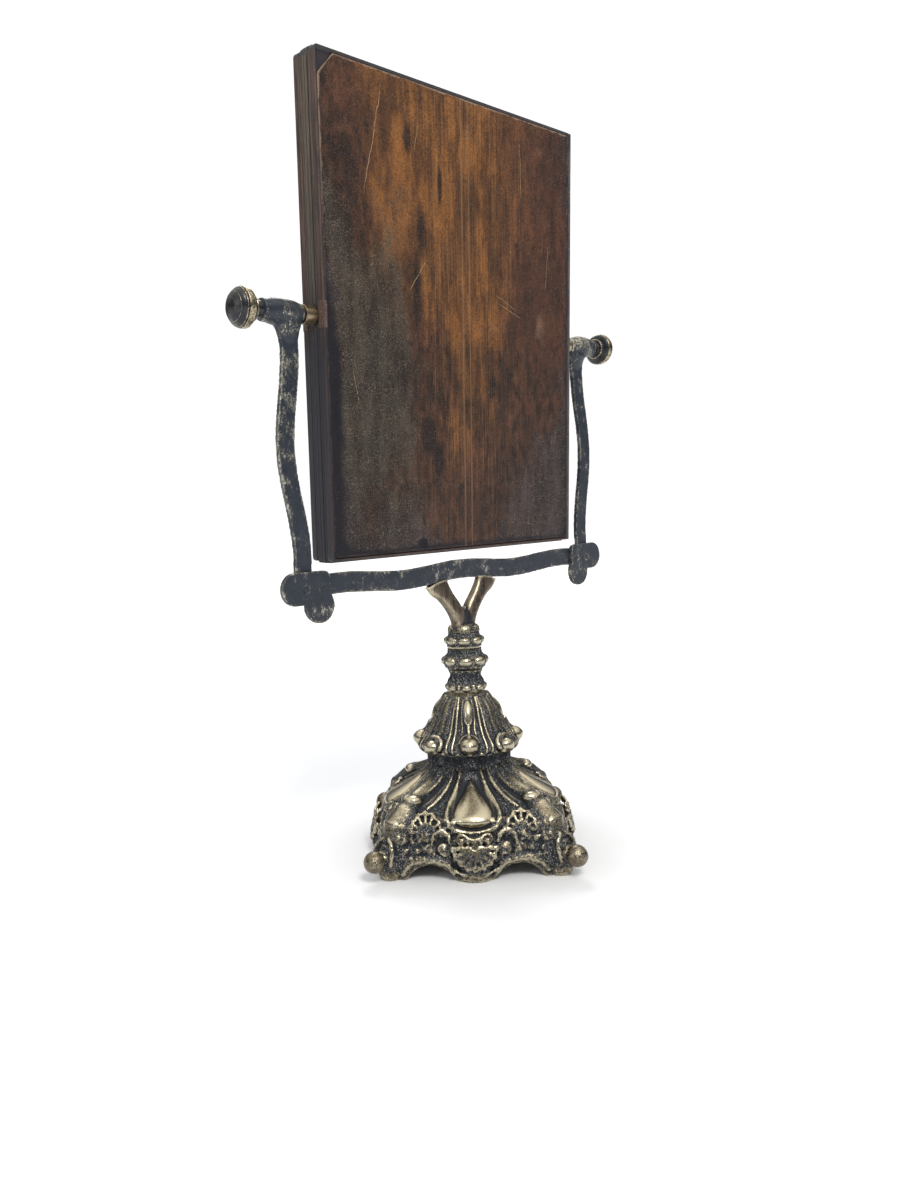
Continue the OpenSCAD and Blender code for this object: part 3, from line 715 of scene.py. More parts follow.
def skirt_radius(angle, z):
    """Distance from the axis to the skirt, at an angle in degrees from a face's middle."""
    a = math.radians((angle + 45) % 90 - 45)
    h, c = skirt_half(z), corner_reach(z) / math.sqrt(2)
    bend = (c - h) * (math.sin(a) / c) ** 2
    return 2 * h / (math.cos(a) + math.sqrt(max(math.cos(a) ** 2 - 4 * bend * h, 0)))


def on_skirt(t, z, lift=0.0):
    """A point over a face of the skirt: t sideways from its middle, z the height, lift off the surface."""
    def at(t, z):
        h, c = skirt_half(z), corner_reach(z) / math.sqrt(2)
        t = max(-0.98 * c, min(0.98 * c, t))
        return Vector((h + (c - h) * (t / c) ** 2, t, z))

    here = at(t, z)
    across, up = at(t + 0.5, z) - at(t - 0.5, z), at(t, z + 0.5) - at(t, z - 0.5)
    if across.length < 0.6:
        across = Vector((0, 1, 0))
    return here + lift * across.cross(up).normalized()


def foot_edge(angle):
    """Height of the skirt's lower edge: feet at the middle and the corners, with arches between."""
    a = abs((angle + 45) % 90 - 45)
    t = 64 * math.tan(math.radians(a))
    share = min(max((t - 11.5) / 36, 0), 1)
    return 10.5 * math.sin(math.pi * share) ** 0.7


def skirt_shell(form):
    """The bare shell: the outer sweep down to the feet, and the hollow inside."""
    sides, outer_steps, inner_steps = 288, 44, 16
    angles = [360 * k / sides for k in range(sides)]

    def ring(height_at, inset):
        points = []
        for angle in angles:
            z = height_at(angle)
            r = skirt_radius(angle, z) - inset
            points.append((r * math.cos(math.radians(angle)), r * math.sin(math.radians(angle)), z))
        return points

    rings = [ring(lambda a: SKIRT_TOP, SKIRT_TOP / 2.6)]
    for i in range(outer_steps + 1):
        share = i / outer_steps
        rings.append(ring(lambda a: SKIRT_TOP + (foot_edge(a) - SKIRT_TOP) * share, 0))
    for i in range(inner_steps + 1):
        share = i / inner_steps
        rings.append(ring(lambda a: foot_edge(a) + (FLOOR_Z - foot_edge(a)) * share, SKIRT_WALL))
    rings.append(ring(lambda a: FLOOR_Z, FLOOR_Z / 2.2))
    form.loft(rings)


def over(place, points, radii, lift=0.3):
    """A path over a surface through (sideways, height) points, with its radii."""
    path = through([(*p, r) for p, r in zip(points, radii)])
    return [place(t, z, lift + r * 0.25) for t, z, r in path], [max(r, 0.25) for t, z, r in path]


def scroll(form, place, t, z, size, start, turns, thick, lift=1.0):
    """A volute that winds in from size to its eye. A negative number of turns winds the other way."""
    steps = int(14 * abs(turns)) + 4
    path, radii = [], []
    for i in range(steps + 1):
        s = i / steps
        a = math.radians(start + 360 * turns * s)
        r = size * (1 - 0.80 * s)
        path.append(place(t + r * math.cos(a), z + r * math.sin(a), lift + 0.5 * s * thick))
        radii.append(thick * (1.0 - 0.35 * s))
    form.rod(path, radii)
    form.ball(place(t, z, lift + 0.5 * thick), thick * 1.25, sides=10)


def shell(form, place, t, z, reach, turn, spread=150, flutes=7, lift=0.8):
    """A scallop: flutes fan out from a root, and a wavy lip joins their ends."""
    lip = []
    for i in range(flutes * 2 - 1):
        a = math.radians(turn + spread * (i / (flutes * 2 - 2) - 0.5))
        far = reach * (1.0 if i % 2 == 0 else 0.88)
        lip.append((t + far * math.sin(a), z + far * math.cos(a)))
        if i % 2 == 0:
            ray = [(t + reach * k * math.sin(a), z + reach * k * math.cos(a))
                   for k in (0.16, 0.4, 0.7, 0.92)]
            form.rod([place(*p, lift * (0.4 + 0.9 * k)) for p, k in zip(ray, (0.1, 0.3, 0.6, 1.0))],
                     [reach * 0.06, reach * 0.08, reach * 0.10, reach * 0.11])
    path = through(lip, 3)
    form.rod([place(*p, lift * 1.7) for p in path], [reach * 0.085] * len(path))
    inner = [(t + (a - t) * 0.62, z + (b - z) * 0.62) for a, b in path]
    form.rod([place(*p, lift * 1.0) for p in inner], [reach * 0.05] * len(inner))


def cushion(form, place, rows, height, under=-1.5, sides=28):
    """A smooth raised pad: rows are (height up the face, half width, share of the full height)."""
    rings = []
    for z, half, share in rows:
        ring = []
        for k in range(sides):
            a = 2 * math.pi * k / sides
            lift = height * share * math.sin(a) if math.sin(a) > 0 else -under * math.sin(a)
            ring.append(place(half * math.cos(a), z, lift))
        rings.append(ring)
    form.loft(rings)


def mirrored(draw):
    """Draws something on both halves of a face: draw gets a place function and the side."""
    for side in (1, -1):
        draw(lambda t, z, lift=0.0, side=side: on_skirt(side * t, z, lift), side)


def skirt_ribs(form):
    """Ribs that sweep from the waist out to the corners, and the frame round the teardrop."""
    frame_line = [(6.2, 62.5), (7.6, 56), (10.6, 49), (14.8, 43), (16.8, 38), (14.6, 33), (8.5, 30.2),
                  (0, 29.2)]
    whole = frame_line + [(-t, z) for t, z in frame_line[-2::-1]]
    form.rod(*over(on_skirt, whole, [1.5] * len(whole), 0.5))
    inner = [(t * 0.80, z + 0.6) for t, z in whole]
    form.rod(*over(on_skirt, inner[1:-1], [0.6] * (len(inner) - 2), 0.2))

    def half(place, side):
        form.rod(*over(place, [(10.5, 62.5), (13, 55), (18, 48.5), (24.5, 43.5), (29, 41.5)],
                       [1.7, 1.5, 1.5, 1.4, 1.0], 0.5))
        form.rod(*over(place, [(13.0, 62), (15.6, 55), (20.6, 49.5), (27, 45), (31, 43.6)],
                       [0.7, 0.7, 0.7, 0.7, 0.5], 0.3))
        form.rod(*over(place, [(16, 62.5), (19, 56), (24.5, 51), (31.5, 47.3), (38, 45)],
                       [1.9, 1.8, 1.7, 1.7, 1.6], 0.6))
        form.rod(*over(place, [(18.6, 62), (21.6, 56.5), (27.4, 52), (34, 49), (39, 47)],
                       [0.7, 0.7, 0.7, 0.7, 0.6], 0.3))

    mirrored(half)


def teardrop(form):
    rows = [(55, 1.0, 0.35), (52.5, 2.3, 0.55), (49.5, 4.0, 0.7), (46.5, 6.4, 0.82), (43.5, 9.2, 0.92),
            (40.5, 11.6, 1.0), (37.8, 12.4, 1.0), (35.4, 11.2, 0.9), (33.6, 8.4, 0.68), (32.4, 4.2, 0.35)]
    smooth_rows = through(rows, 3)
    cushion(form, on_skirt, smooth_rows, 4.2)


def skirt_corner(form):
    """A smooth flare down each corner to the ball, with its pad on the floor."""
    def corner(z, out=0.0, side=0.0):
        r = skirt_radius(45, z) + out
        a = math.radians(45)
        return Vector((r * math.cos(a) - side * math.sin(a), r * math.sin(a) + side * math.cos(a), z))

    form.rod([corner(z, out) for z, out in ((62, -2.4), (56, -2.8), (50, -2.8), (46, -2.6))],
             [3.2, 4.0, 4.8, 5.4], 14)
    form.rod([corner(z, out) for z, out in ((46, -5.0), (39, -8.0), (31, -9.8), (23, -11.5), (14, -9.5))],
             [4.6, 8.4, 11.4, 11.6, 9.8], 24)
    for side in (-1, 1):
        form.rod([corner(z, out, side * w)
                  for z, out, w in ((46, -0.8, 3.4), (40, -1.8, 6.0), (33, -2.8, 7.6),
                                                              (27, -2.2, 5.6), (22.5, -0.8, 0.6))],
                 [0.9, 0.9, 1.0, 1.0, 0.9])
    pad = Matrix.Rotation(math.radians(45), 3, "Z") @ Vector((76.0, 0, 0))
    form.loft([
        [(pad.x + r * math.cos(2 * math.pi * k / 24), pad.y + r * math.sin(2 * math.pi * k / 24), z)
         for k in range(24)]
        for z, r in ((0.0, 6.6), (0.6, 7.6), (4, 8.8), (10, 9.2), (18, 8.2), (23, 5.5))
    ])
    form.rod([corner(14, 2.0), corner(14, 5.5)], [6.2, 5.2], 18)
    # Leaves round the ball
    for side in (-1, 1):
        leaf_line = [(27, 2.0), (23.5, 6.2), (17.5, 7.6), (11.5, 6.6), (7.5, 2.6)]
        form.rod(*over(lambda t, z, lift: corner(z, lift, side * t), [(w, z) for z, w in leaf_line],
                       [1.0, 1.5, 1.7, 1.5, 0.9], 0.4))


def middle_foot(form):
    """The fluted shell in the middle of each face, on its own foot."""
    foot = [(0.0, 11.0, 66.0), (0.7, 12.2, 68.6), (4, 12.6, 69.8), (8, 12.0, 69.6), (13, 13.4, 68.6),
            (19, 13.8, 66.5), (25, 11.5, 63.5), (29, 7, 59)]
    form.loft([
        [(58 + (reach - 58) * math.cos(2 * math.pi * k / 36), half * math.sin(2 * math.pi * k / 36), z)
         for k in range(36)]
        for z, half, reach in foot
    ])

    def front(t, z, lift=0.0):
        """The foot's front, which bulges forwards of the border."""
        reach = 68.4 - 0.022 * t * t - 0.012 * max(z - 12, 0) ** 2 * 0.8
        return Vector((reach + lift, t, z))

    shell(form, front, 0, 23.5, 15.0, 180, 164, 9, 0.9)
    for side in (-1, 1):
        scroll(form, lambda t, z, lift: front(side * t, z, lift), 8.2, 27.0, 4.2, 200, -1.15, 1.15, 0.4)
    rim = through([(-7.5, 30.5), (-3.6, 28.2), (0, 27.5), (3.6, 28.2), (7.5, 30.5)], 5)
    form.rod([front(t, z, 0.6) for t, z in rim], [1.1] * len(rim))
    lip = through([(-12.6, 7.5), (-8, 5.6), (0, 4.8), (8, 5.6), (12.6, 7.5)], 5)
    form.rod([front(t, z, 0.8) for t, z in lip], [0.8] * len(lip))


def border_ornament(form):
    """Shells, C-scrolls, rosettes and small curls along the border, alike on both halves of a face."""
    def half(place, side):
        shell(form, place, 30, 29.5, 10.5, 2, 170, 7, 1.1)
        scroll(form, place, 30.5, 28, 3.0, 250, 1.1, 0.9, 1.1)
        # The C-scroll beside the middle foot, with a volute at each end
        c_line = [(27, 22.5), (25.5, 28), (21, 30.5), (16.8, 28.6), (15.2, 24)]
        form.rod(*over(place, c_line, [1.0, 1.5, 1.8, 1.8, 1.5], 1.0))
        scroll(form, place, 19.2, 20.8, 4.4, 170, 1.35, 1.45, 1.3)
        scroll(form, place, 27.8, 20.2, 2.8, 60, -1.1, 1.0, 1.0)
        # Leaf and volute at the corner's shoulder
        form.ball(place(38.0, 44.5, 2.2), (4.6, 6.0, 3.6))
        form.ball(place(44.5, 40.5, 1.4), (2.6, 3.4, 2.6))
        form.ball(place(49.0, 33.5, 1.6), (2.8, 3.4, 3.4))
        scroll(form, place, 47.5, 27.0, 4.2, 120, 1.2, 1.5, 1.6)
        scroll(form, place, 41.5, 39.5, 3.6, 110, -1.25, 1.1, 1.0)
        form.rod(*over(place, [(37, 41.5), (38.2, 36), (42, 31.5), (47, 29)], [0.9, 1.2, 1.3, 0.9], 0.8))
        # Rosette beside the ball
        for ring, thick, lift in ((6.4, 1.0, 0.6), (4.1, 0.85, 0.9), (2.1, 0.7, 1.2)):
            loop = [place(50 + ring * math.cos(a), 14.5 + ring * math.sin(a), lift)
                    for a in np.linspace(0, 2 * math.pi, 25)]
            form.rod(loop, [thick] * len(loop))
        form.ball(place(50, 14.5, 1.2), 1.3, sides=10)
        for k in range(10):
            a = 2 * math.pi * k / 10
            form.ball(place(50 + 5.2 * math.cos(a), 14.5 + 5.2 * math.sin(a), 0.8), 0.9, sides=8)
        # The moulded edge over the arch
        edge = through([(13.5, 6.0), (16.5, 9.6), (21, 12.2), (29, 13.4), (37, 12.4), (42.5, 9.6),
                        (46, 5.0)], 5)
        form.rod([place(t, z, 0.5) for t, z in edge], [1.9] * len(edge))
        form.rod([place(t, z + 2.6, 0.7) for t, z in edge[3:-3]], [0.7] * (len(edge) - 6))

    mirrored(half)


def small_curls(form, seed):
    """Small curls and beads that fill the border between the large pieces."""
    rng = random.Random(seed)
    large = ((30, 34, 8.5), (20, 22, 6.0), (50, 14.5, 7.0), (41, 40, 4.0), (0, 15, 12.5), (8, 27, 4.0))
    placed = []
    for _ in range(420):
        t, z = rng.uniform(12, 56), rng.uniform(12.5, 37)
        size = rng.uniform(1.5, 2.7)
        start, way = rng.uniform(0, 360), rng.choice((-1, 1))
        clear = all(math.hypot(t - a, z - b) > r for a, b, r in large)
        apart = all(math.hypot(t - a, z - b) > (size + r) * 0.92 for a, b, r in placed)
        if not (clear and apart):
            continue
        placed.append((t, z, size))
        mirrored(lambda place, side: scroll(form, place, t, z, size, start, 1.05 * way, 0.80, 0.65))


def granulate(mesh):
    """Roughens the ground of the casting.

    It is coarse along the border, fine in the channels and smooth on the polished parts.
    """
    co = coordinates(mesh) / MM
    angle = np.degrees(np.arctan2(co[:, 1], co[:, 0])) - BASE_TURN
    fold = np.radians((angle + 45) % 90 - 45)
    reach = np.hypot(co[:, 0], co[:, 1])
    t, z = np.abs(reach * np.sin(fold)), co[:, 2]
    drop = smooth(1.25, 0.9, np.hypot(t / 13, (z - 42) / 12))
    flare = smooth(7.0, 4.0, reach * np.sin(np.radians(45) - np.abs(fold))) * smooth(20, 29, z)
    border = smooth(42, 34, z)
    coarse = (0.15 + 0.85 * border) * (1 - drop) * (1 - 0.9 * flare)
    fine = (0.55 + 0.45 * border) * (1 - drop) * (1 - 0.9 * flare)
    normal = np.zeros(len(co) * 3, np.float32)
    mesh.vertex_normals.foreach_get("vector", normal)
    rise = np.array([
        noise.noise(Vector(p) / 2.3) * c * 0.50 + noise.noise(Vector(p) / 1.15) * e * 0.45
        for p, c, e in zip(co, coarse, fine)
    ])
    moved = co + normal.reshape(-1, 3) * rise[:, None]
    moved[:, 2] = np.maximum(moved[:, 2], 0)
    mesh.vertices.foreach_set("co", (moved * MM).ravel())
    mesh.update()
    # Patina and painted shade in the throat under the bell.
    mark(mesh, "patina_and_shade", 0.9 * smooth(53, 61, z) * (1 - drop))
    above = (1 - (co[:, 2] < 31)) * (reach > skirt_half(40) - 14)
    mark(mesh, "polish", np.maximum(drop * above, 0.18 * flare * smooth(58, 46, z)))


def base_skirt():
    face = Form()
    skirt_ribs(face)
    teardrop(face)
    skirt_corner(face)
    middle_foot(face)
    border_ornament(face)
    small_curls(face, 5)
    whole = Form()
    skirt_shell(whole)
    whole.repeat(face, 4)
    mesh = cast(whole.mesh("base_skirt_cast", Matrix.Rotation(math.radians(BASE_TURN), 4, "Z")), 0.66, 1)
    granulate(mesh)
    mark_relief(mesh, 0.7, 2.0)
    mesh = thinned(mesh, MOST_FACES)
    put("base_skirt_casting", mesh, "base", "bronze_casting", MATERIALS["skirt"], "base_skirt")


def corner_balls():
    """Four polished balls, each with a low collar against its corner."""
    form = Form()
    one = Form()
    one.turned([(BALL_R * math.sin(math.pi * i / 28), -BALL_R * math.cos(math.pi * i / 28))
                for i in range(29)], 56)
    one.turned([(5.4, -7.4), (6.0, -7.2), (6.2, -6.4), (5.7, -5.4), (4.4, -4.8)], 48)
    tip = Matrix.Translation((BALL_REACH, 0, BALL_Z)) @ Matrix.Rotation(math.radians(90), 4, "Y")
    one.points = [tuple(tip @ Vector(p)) for p in one.points]
    form.repeat(one, 4, BASE_TURN + 45)
    mesh = form.mesh("corner_balls")
    unevenness(mesh, 5, 0.12)
    mark(mesh, "relief", [0.80] * len(mesh.vertices))
    put("corner_ball_set", mesh, "base", "worn_brass", MATERIALS["ball"], "corner_balls")


# ---------- base: the bell and its collars ----------

BELL_LINE = ((27.8, 61.8), (27.6, 64), (27.2, 67), (28.0, 70), (31.2, 72.4), (33.4, 75.0), (33.2, 77.4),
             (30.6, 80.6),
             (27.0, 85), (24.2, 90), (22.0, 95), (19.9, 100), (17.2, 104.5), (14.6, 108), (12.2, 110.2))


def bell_radius(z):
    radii, heights = zip(*BELL_LINE)
    return float(np.interp(z, heights, radii))


def on_bell(angle, z, lift=0.0):
    r = bell_radius(z) + lift
    return Vector((r * math.cos(math.radians(angle)), r * math.sin(math.radians(angle)), z))


def bell_line(form, points, radii, lift=0.4):
    form.rod(*over(on_bell, points, radii, lift))


def bell_face(form):
    """A quarter of the bell: a petal and a boss on the face, and a spoon scroll on the corner."""
    # Petal, stem and boss
    rows = through([(106, 3, 0.3), (103, 7.5, 0.8), (99, 9.0, 1.0), (94.5, 7.6, 0.8), (91, 4.0, 0.45),
                    (88.5, 2.2, 0.25)], 3)
    cushion(form, on_bell, rows, 2.6, -1.2)
    bell_line(form, [(0, 90), (0, 86), (0, 82.5)], [1.5, 1.3, 2.0], 0.8)
    form.ball((30.6, 0, 78.6), (7.0, 6.6, 5.6))
    form.ball((30.5, 0, 74.4), (4.6, 4.2, 3.6))
    form.ball((36.4, 0, 79.2), (1.4, 2.0, 1.8))
    collar = [on_bell(12.4 * math.cos(a), 80.0 + 5.4 * math.sin(a), 1.0)
              for a in np.linspace(0.15, math.pi - 0.15, 15)]
    form.rod(collar, [0.8] * len(collar))
    # Corner: a long ridge, and the spoon scroll with a hollow eye
    rows = through([(107, 3.2, 0.4), (101, 6.4, 0.9), (94, 6.4, 1.0), (88, 6.0, 0.9), (84, 5.0, 0.7)], 3)
    cushion(form, lambda a, z, lift: on_bell(45 + a, z, lift), rows, 1.9, -1.2)
    for side in (-1, 1):
        middle = 45 + side * 3.0
        loop = [on_bell(middle + 8.6 * math.cos(a) * side, 78.6 + 4.4 * math.sin(a), 2.2)
                for a in np.linspace(-0.5, 1.65 * math.pi, 22)]
        form.rod(loop, list(np.linspace(1.6, 2.2, len(loop))))
    form.ball(on_bell(45, 77.4, 1.6), (4.6, 5.6, 4.4), 45)
    form.ball(on_bell(45, 73.6, 0.8), (3.4, 3.6, 2.8), 45)
    # Double lines between the lobes, and fine ones beside the petal
    for side in (-1, 1):
        for base, top, thick in ((22.5 - 3.6, 22.5 - 2.6, 0.85), (22.5 + 3.6, 22.5 + 2.6, 0.85)):
            bell_line(form, [(side * top, 108), (side * base, 97), (side * base, 86),
                             (side * (base + 1.0), 79), (side * base, 73.6)],
                      [thick] * 5, 0.5)
            bell_line(form, [(45 + side * (45 - top) * 0.56, 107), (45 + side * (45 - base) * 0.52, 97),
                             (45 + side * (45 - base) * 0.50, 86)], [0.55, 0.6, 0.5], 0.3)
        bell_line(form, [(side * 9.5, 106.5), (side * 11.6, 98), (side * 9.0, 89), (side * 10.5, 84.6)],
                  [0.5, 0.65, 0.65, 0.5], 0.4)
    # Ribs on the neck below the lip
    for angle in (-36, -27, -17.5, -10.5, 10.5, 17.5, 27, 36):
        form.rod([on_bell(angle, z, 0.3) for z in (61.9, 65, 69)], [1.1, 1.0, 0.9])
    # Scalloped lip over the undercut
    for middle, half in ((0, 13), (22.5, 9), (45, 13), (67.5, 9)):
        loop = [on_bell(middle + half * s, 73.6 - 2.2 * (1 - s * s), 1.3) for s in np.linspace(-1, 1, 11)]
        form.rod(loop, [1.25] * len(loop))


def base_bell():
    quarter = Form()
    bell_face(quarter)
    whole = Form()
    whole.turned([(0, BELL_LINE[0][1])] + list(BELL_LINE) + [(0, BELL_LINE[-1][1])], 144)
    whole.repeat(quarter, 4)
    mesh = cast(whole.mesh("base_bell_cast", Matrix.Rotation(math.radians(BASE_TURN), 4, "Z")), 0.42, 1)
    mark_relief(mesh, 0.5, 1.3)
    co = coordinates(mesh) / MM
    turn = np.degrees(np.arctan2(co[:, 1], co[:, 0]))
    fold = np.abs((turn - BASE_TURN + 45) % 90 - 45)
    z = co[:, 2]
    polish = np.maximum(smooth(1.2, 0.8, np.hypot(fold / 12, (z - 78.5) / 6)),
                        smooth(1.2, 0.8, np.hypot(fold / 9, (z - 98) / 9)))
    polish = np.maximum(polish, 0.8 * smooth(1.2, 0.8, np.hypot((fold - 45) / 9, (z - 77.5) / 5)))
    mark(mesh, "polish", polish)
    # Patina and painted shade under the scalloped lip and down the grooves between the lobes.
    mark(mesh, "patina_and_shade", smooth(75.0, 71.5, z)
         + 0.35 * smooth(84, 79, z) * smooth(0.9, 1.3, np.abs(fold - 22) / 9))
    mesh = thinned(mesh, MOST_FACES)
    put("base_bell_casting", mesh, "base", "bronze_casting", MATERIALS["bell"], "base_bell")


def beads(form, z, reach, radii, count=8, first=0.0):
    """A ring of oval beads; radii are outwards, sideways and upwards."""
    one = Form()
    one.ball((reach, 0, z), radii)
    form.repeat(one, count, first)


def lower_bead_collar():
    """The fluted waist and its ring of small oval beads."""
    form = Form()
    form.turned([(0, BELL_TOP - 0.6), (12.4, BELL_TOP - 0.4), (13.4, 111.6), (12.6, 113.6), (13.0, 115.6),
                 (11.6, 117.6),
                 (10.0, 120), (9.8, 122), (10.6, 123.8), (12.0, COLLAR_TOP), (0, COLLAR_TOP)])
    beads(form, 113.4, 12.4, (2.2, 3.0, 2.1))
    beads(form, 114.0, 12.6, (1.3, 1.2, 1.9), 8, 22.5)
    flute = Form()
    flute.rod([(11.9, 0, 117), (10.3, 0, 119.6), (9.9, 0, 122.2), (11.0, 0, 124.4)], [0.8, 0.7, 0.7, 0.8])
    form.repeat(flute, 16, 11.25)
    mesh = cast(form.mesh("lower_collar", Matrix.Rotation(math.radians(BASE_TURN), 4, "Z")), 0.36, 1)
    mark_relief(mesh, 0.45, 1.1)
    z = coordinates(mesh)[:, 2] / MM
    # Patina and painted shade in the fluted waist between the bead rings.
    mark(mesh, "patina_and_shade", smooth(115.0, 117.0, z) * smooth(125.5, 123.0, z))
    put("lower_collar_casting", mesh, "base", "worn_brass", MATERIALS["bead"], "lower_bead_collar")


def upper_bead_collar():
    """The flared ring with large oval beads, and the neck above it."""
    form = Form()
    form.turned([(0, COLLAR_TOP), (11.6, COLLAR_TOP + 0.2), (13.2, 126.6), (14.0, 128.6), (13.2, 130.4),
                 (14.0, 133.4),
                 (12.8, 135.2), (11.4, 136.6), (11.3, 138.4), (11.7, RING_TOP), (0, RING_TOP)])
    beads(form, 131.4, 12.6, (3.7, 4.8, 3.3))
    beads(form, 131.0, 13.0, (1.5, 1.0, 2.6), 8, 22.5)
    beads(form, 127.6, 13.0, (1.1, 1.1, 1.1), 24)
    beads(form, 137.3, 11.3, (0.8, 1.1, 1.0), 12, 15)
    mesh = cast(form.mesh("upper_collar", Matrix.Rotation(math.radians(BASE_TURN), 4, "Z")), 0.36, 1)
    mark_relief(mesh, 0.45, 1.1)
    z = coordinates(mesh)[:, 2] / MM
    # Patina and painted shade on the neck above the beads and under their ring.
    mark(mesh, "patina_and_shade", np.maximum(smooth(134.6, 136.0, z), 0.6 * smooth(129.0, 126.0, z)))
    put("upper_collar_casting", mesh, "base", "worn_brass", MATERIALS["bead"], "upper_bead_collar")


# ---------- yoke ----------

def swivel_cap():
    """The turning cap: a ring of oval beads under a lobed dome."""
    form = Form()
    form.turned([(2.9, CAP_LOW + 0.05), (11.2, CAP_LOW + 0.05), (12.0, 141.0), (11.4, 142.4), (12.3, 145.0),
                 (11.2, 147.6),
                 (10.4, 149.6), (9.4, 152.0), (7.6, 154.6), (5.4, 156.2), (2.9, CAP_TOP - 0.2)])
    beads(form, 145.0, 10.7, (3.3, 4.3, 2.8))
    beads(form, 144.6, 11.2, (1.2, 0.9, 2.0), 8, 22.5)
    beads(form, 151.6, 6.6, (4.4, 5.6, 4.5), 4)
    beads(form, 150.2, 7.6, (2.6, 2.8, 3.0), 4, 45)
    beads(form, 149.0, 10.0, (0.7, 0.8, 0.7), 24)
    mesh = cast(form.mesh("cap", Matrix.Rotation(math.radians(BASE_TURN), 4, "Z")), 0.36, 1)
    mark_relief(mesh, 0.45, 1.1)
    put("swivel_cap_casting", mesh, "yoke", "worn_brass", MATERIALS["bead"], "swivel_cap")


def yoke_fork():
    """Two flattened prongs that part above the cap and spread under the crossbar."""
    form = Form()
    under = high("yoke_fork").z - 9.2
    prong = through([(3.0, 152, 5.4, 4.6), (4.8, 160, 5.4, 4.6), (8.8, 167, 5.4, 4.3),
                     (13.8, 173.2, 5.4, 4.0),
                     (18.4, 178.6, 6.4, 3.7), (21.8, 182.6, 8.6, 3.3), (23.5, under + 1.4, 11.2, 2.8)], 6)
    for side in (-1, 1):
        rings = []
        for i, (x, z, wide, deep) in enumerate(prong):
            ahead, behind = prong[min(i + 1, len(prong) - 1)], prong[max(i - 1, 0)]
            along = Vector((ahead[0] - behind[0], 0, ahead[1] - behind[1])).normalized()
            across = Vector((along.z, 0, -along.x))
            ring = []
            for k in range(24):
                a = 2 * math.pi * k / 24
                c, s = math.cos(a), math.sin(a)
                square = (abs(c) ** 3 + abs(s) ** 3) ** (-1 / 3)
                p = Vector((x, 0, z)) + across * wide * c * square + Vector((0, deep * s * square, 0))
                ring.append((side * p.x, p.y, min(p.z, under + 1.6)))
            rings.append(ring)
        form.loft(rings)
        # The tab behind the crossbar
        corners = [(side * 24 + dx, y, z) for z in (under - 3, high("yoke_fork").z)
                   for dx, y in ((-6, 1.7), (6, 1.7), (6, 3.5), (-6, 3.5))]
        form.add(corners, [(3, 2, 1, 0), (4, 5, 6, 7), (0, 1, 5, 4), (1, 2, 6, 5), (2, 3, 7, 6),
                           (3, 0, 4, 7)])
    form.loft([[(half * math.cos(2 * math.pi * k / 20), 3.9 * math.sin(2 * math.pi * k / 20), z)
                for k in range(20)]
               for z, half in ((152, 8.4), (156, 7.6), (160, 5.8), (164, 3.6), (167.5, 1.2))])
    mesh = cast(form.mesh("fork"), 0.45, 3)
    mark_relief(mesh, 0.5, 2.5, 26, 60)
    co = coordinates(mesh) / MM
    # Patina and painted shade in the crotch of the prongs and at their foot on the cap.
    mark(mesh, "patina_and_shade", smooth(7.0, 3.0, np.abs(co[:, 0]) + 0.35 * (co[:, 2] - 156))
         + 0.7 * smooth(158, 153, co[:, 2]))
    put("yoke_fork_casting", mesh, "yoke", "worn_brass", MATERIALS["fork"], "yoke_fork")


def oval_ring(middle, half, deep, z, sides=24):
    """A level oval outline round (middle, 0, z)."""
    turns = [2 * math.pi * k / sides for k in range(sides)]
    return [(middle + half * math.cos(a), deep * math.sin(a), z) for a in turns]


def arm_top(node):
    """The swelling round an arm's barrel, and the fillet where the arm runs up into it."""
    co = coordinates(frame["nodes"][node].data) / MM
    barrel = co[co[:, 2] > PIVOT_Z + 2]
    neck = co[np.abs(co[:, 2] - PIVOT_Z + 20) < 6]
    barrel_low, barrel_high = barrel[:, 0].min(), barrel[:, 0].max()
    barrel_r = barrel[:, 2].max() - PIVOT_Z
    middle, half = (neck[:, 0].max() + neck[:, 0].min()) / 2, (neck[:, 0].max() - neck[:, 0].min()) / 2
    deep = neck[:, 1].max()
    form = Form()
    length = (barrel_high - barrel_low) / 2
    form.ball(((barrel_low + barrel_high) / 2, 0, PIVOT_Z), (1.3 * length, barrel_r + 0.8, barrel_r + 0.8),
              sides=48)
    rings = []
    for drop, wider, deeper in ((20, -1.0, -1.0), (17, 0.2, 0.0), (14, 0.9, 0.8), (11.5, 2.2, 1.8),
                                (9.5, 4.2, 3.2), (7.5, 6.6, 4.4), (4, 8, 4.6)):
        across = min(half + wider, middle - barrel_low - 1.5, barrel_high - middle - 1.5)
        rings.append(oval_ring(middle, max(across, half + 0.4 * wider), deep + deeper, PIVOT_Z - drop))
    form.loft(rings)
    return form


def recast(node, body, wear, voxel=0.5, rounds=4, extra=None):
    """A copy of a painted CAD bar with softened cast edges, and where its paint has worn."""
    mesh = frame["nodes"][node].data
    form = extra or Form()
    form.add([tuple(p) for p in coordinates(mesh) / MM],
             [tuple(polygon.vertices) for polygon in mesh.polygons])
    mesh = cast(form.mesh(node + "_cast"), voxel, rounds)
    unevenness(mesh, 9, 0.16)
    mark_relief(mesh, 0.35, 3.0, 22, 40)
    co = coordinates(mesh) / MM
    mark(mesh, "wear", wear(co[:, 0], co[:, 1], co[:, 2]))
    put(node + "_casting", mesh, body, "dark_paint", MATERIALS["paint"], node)


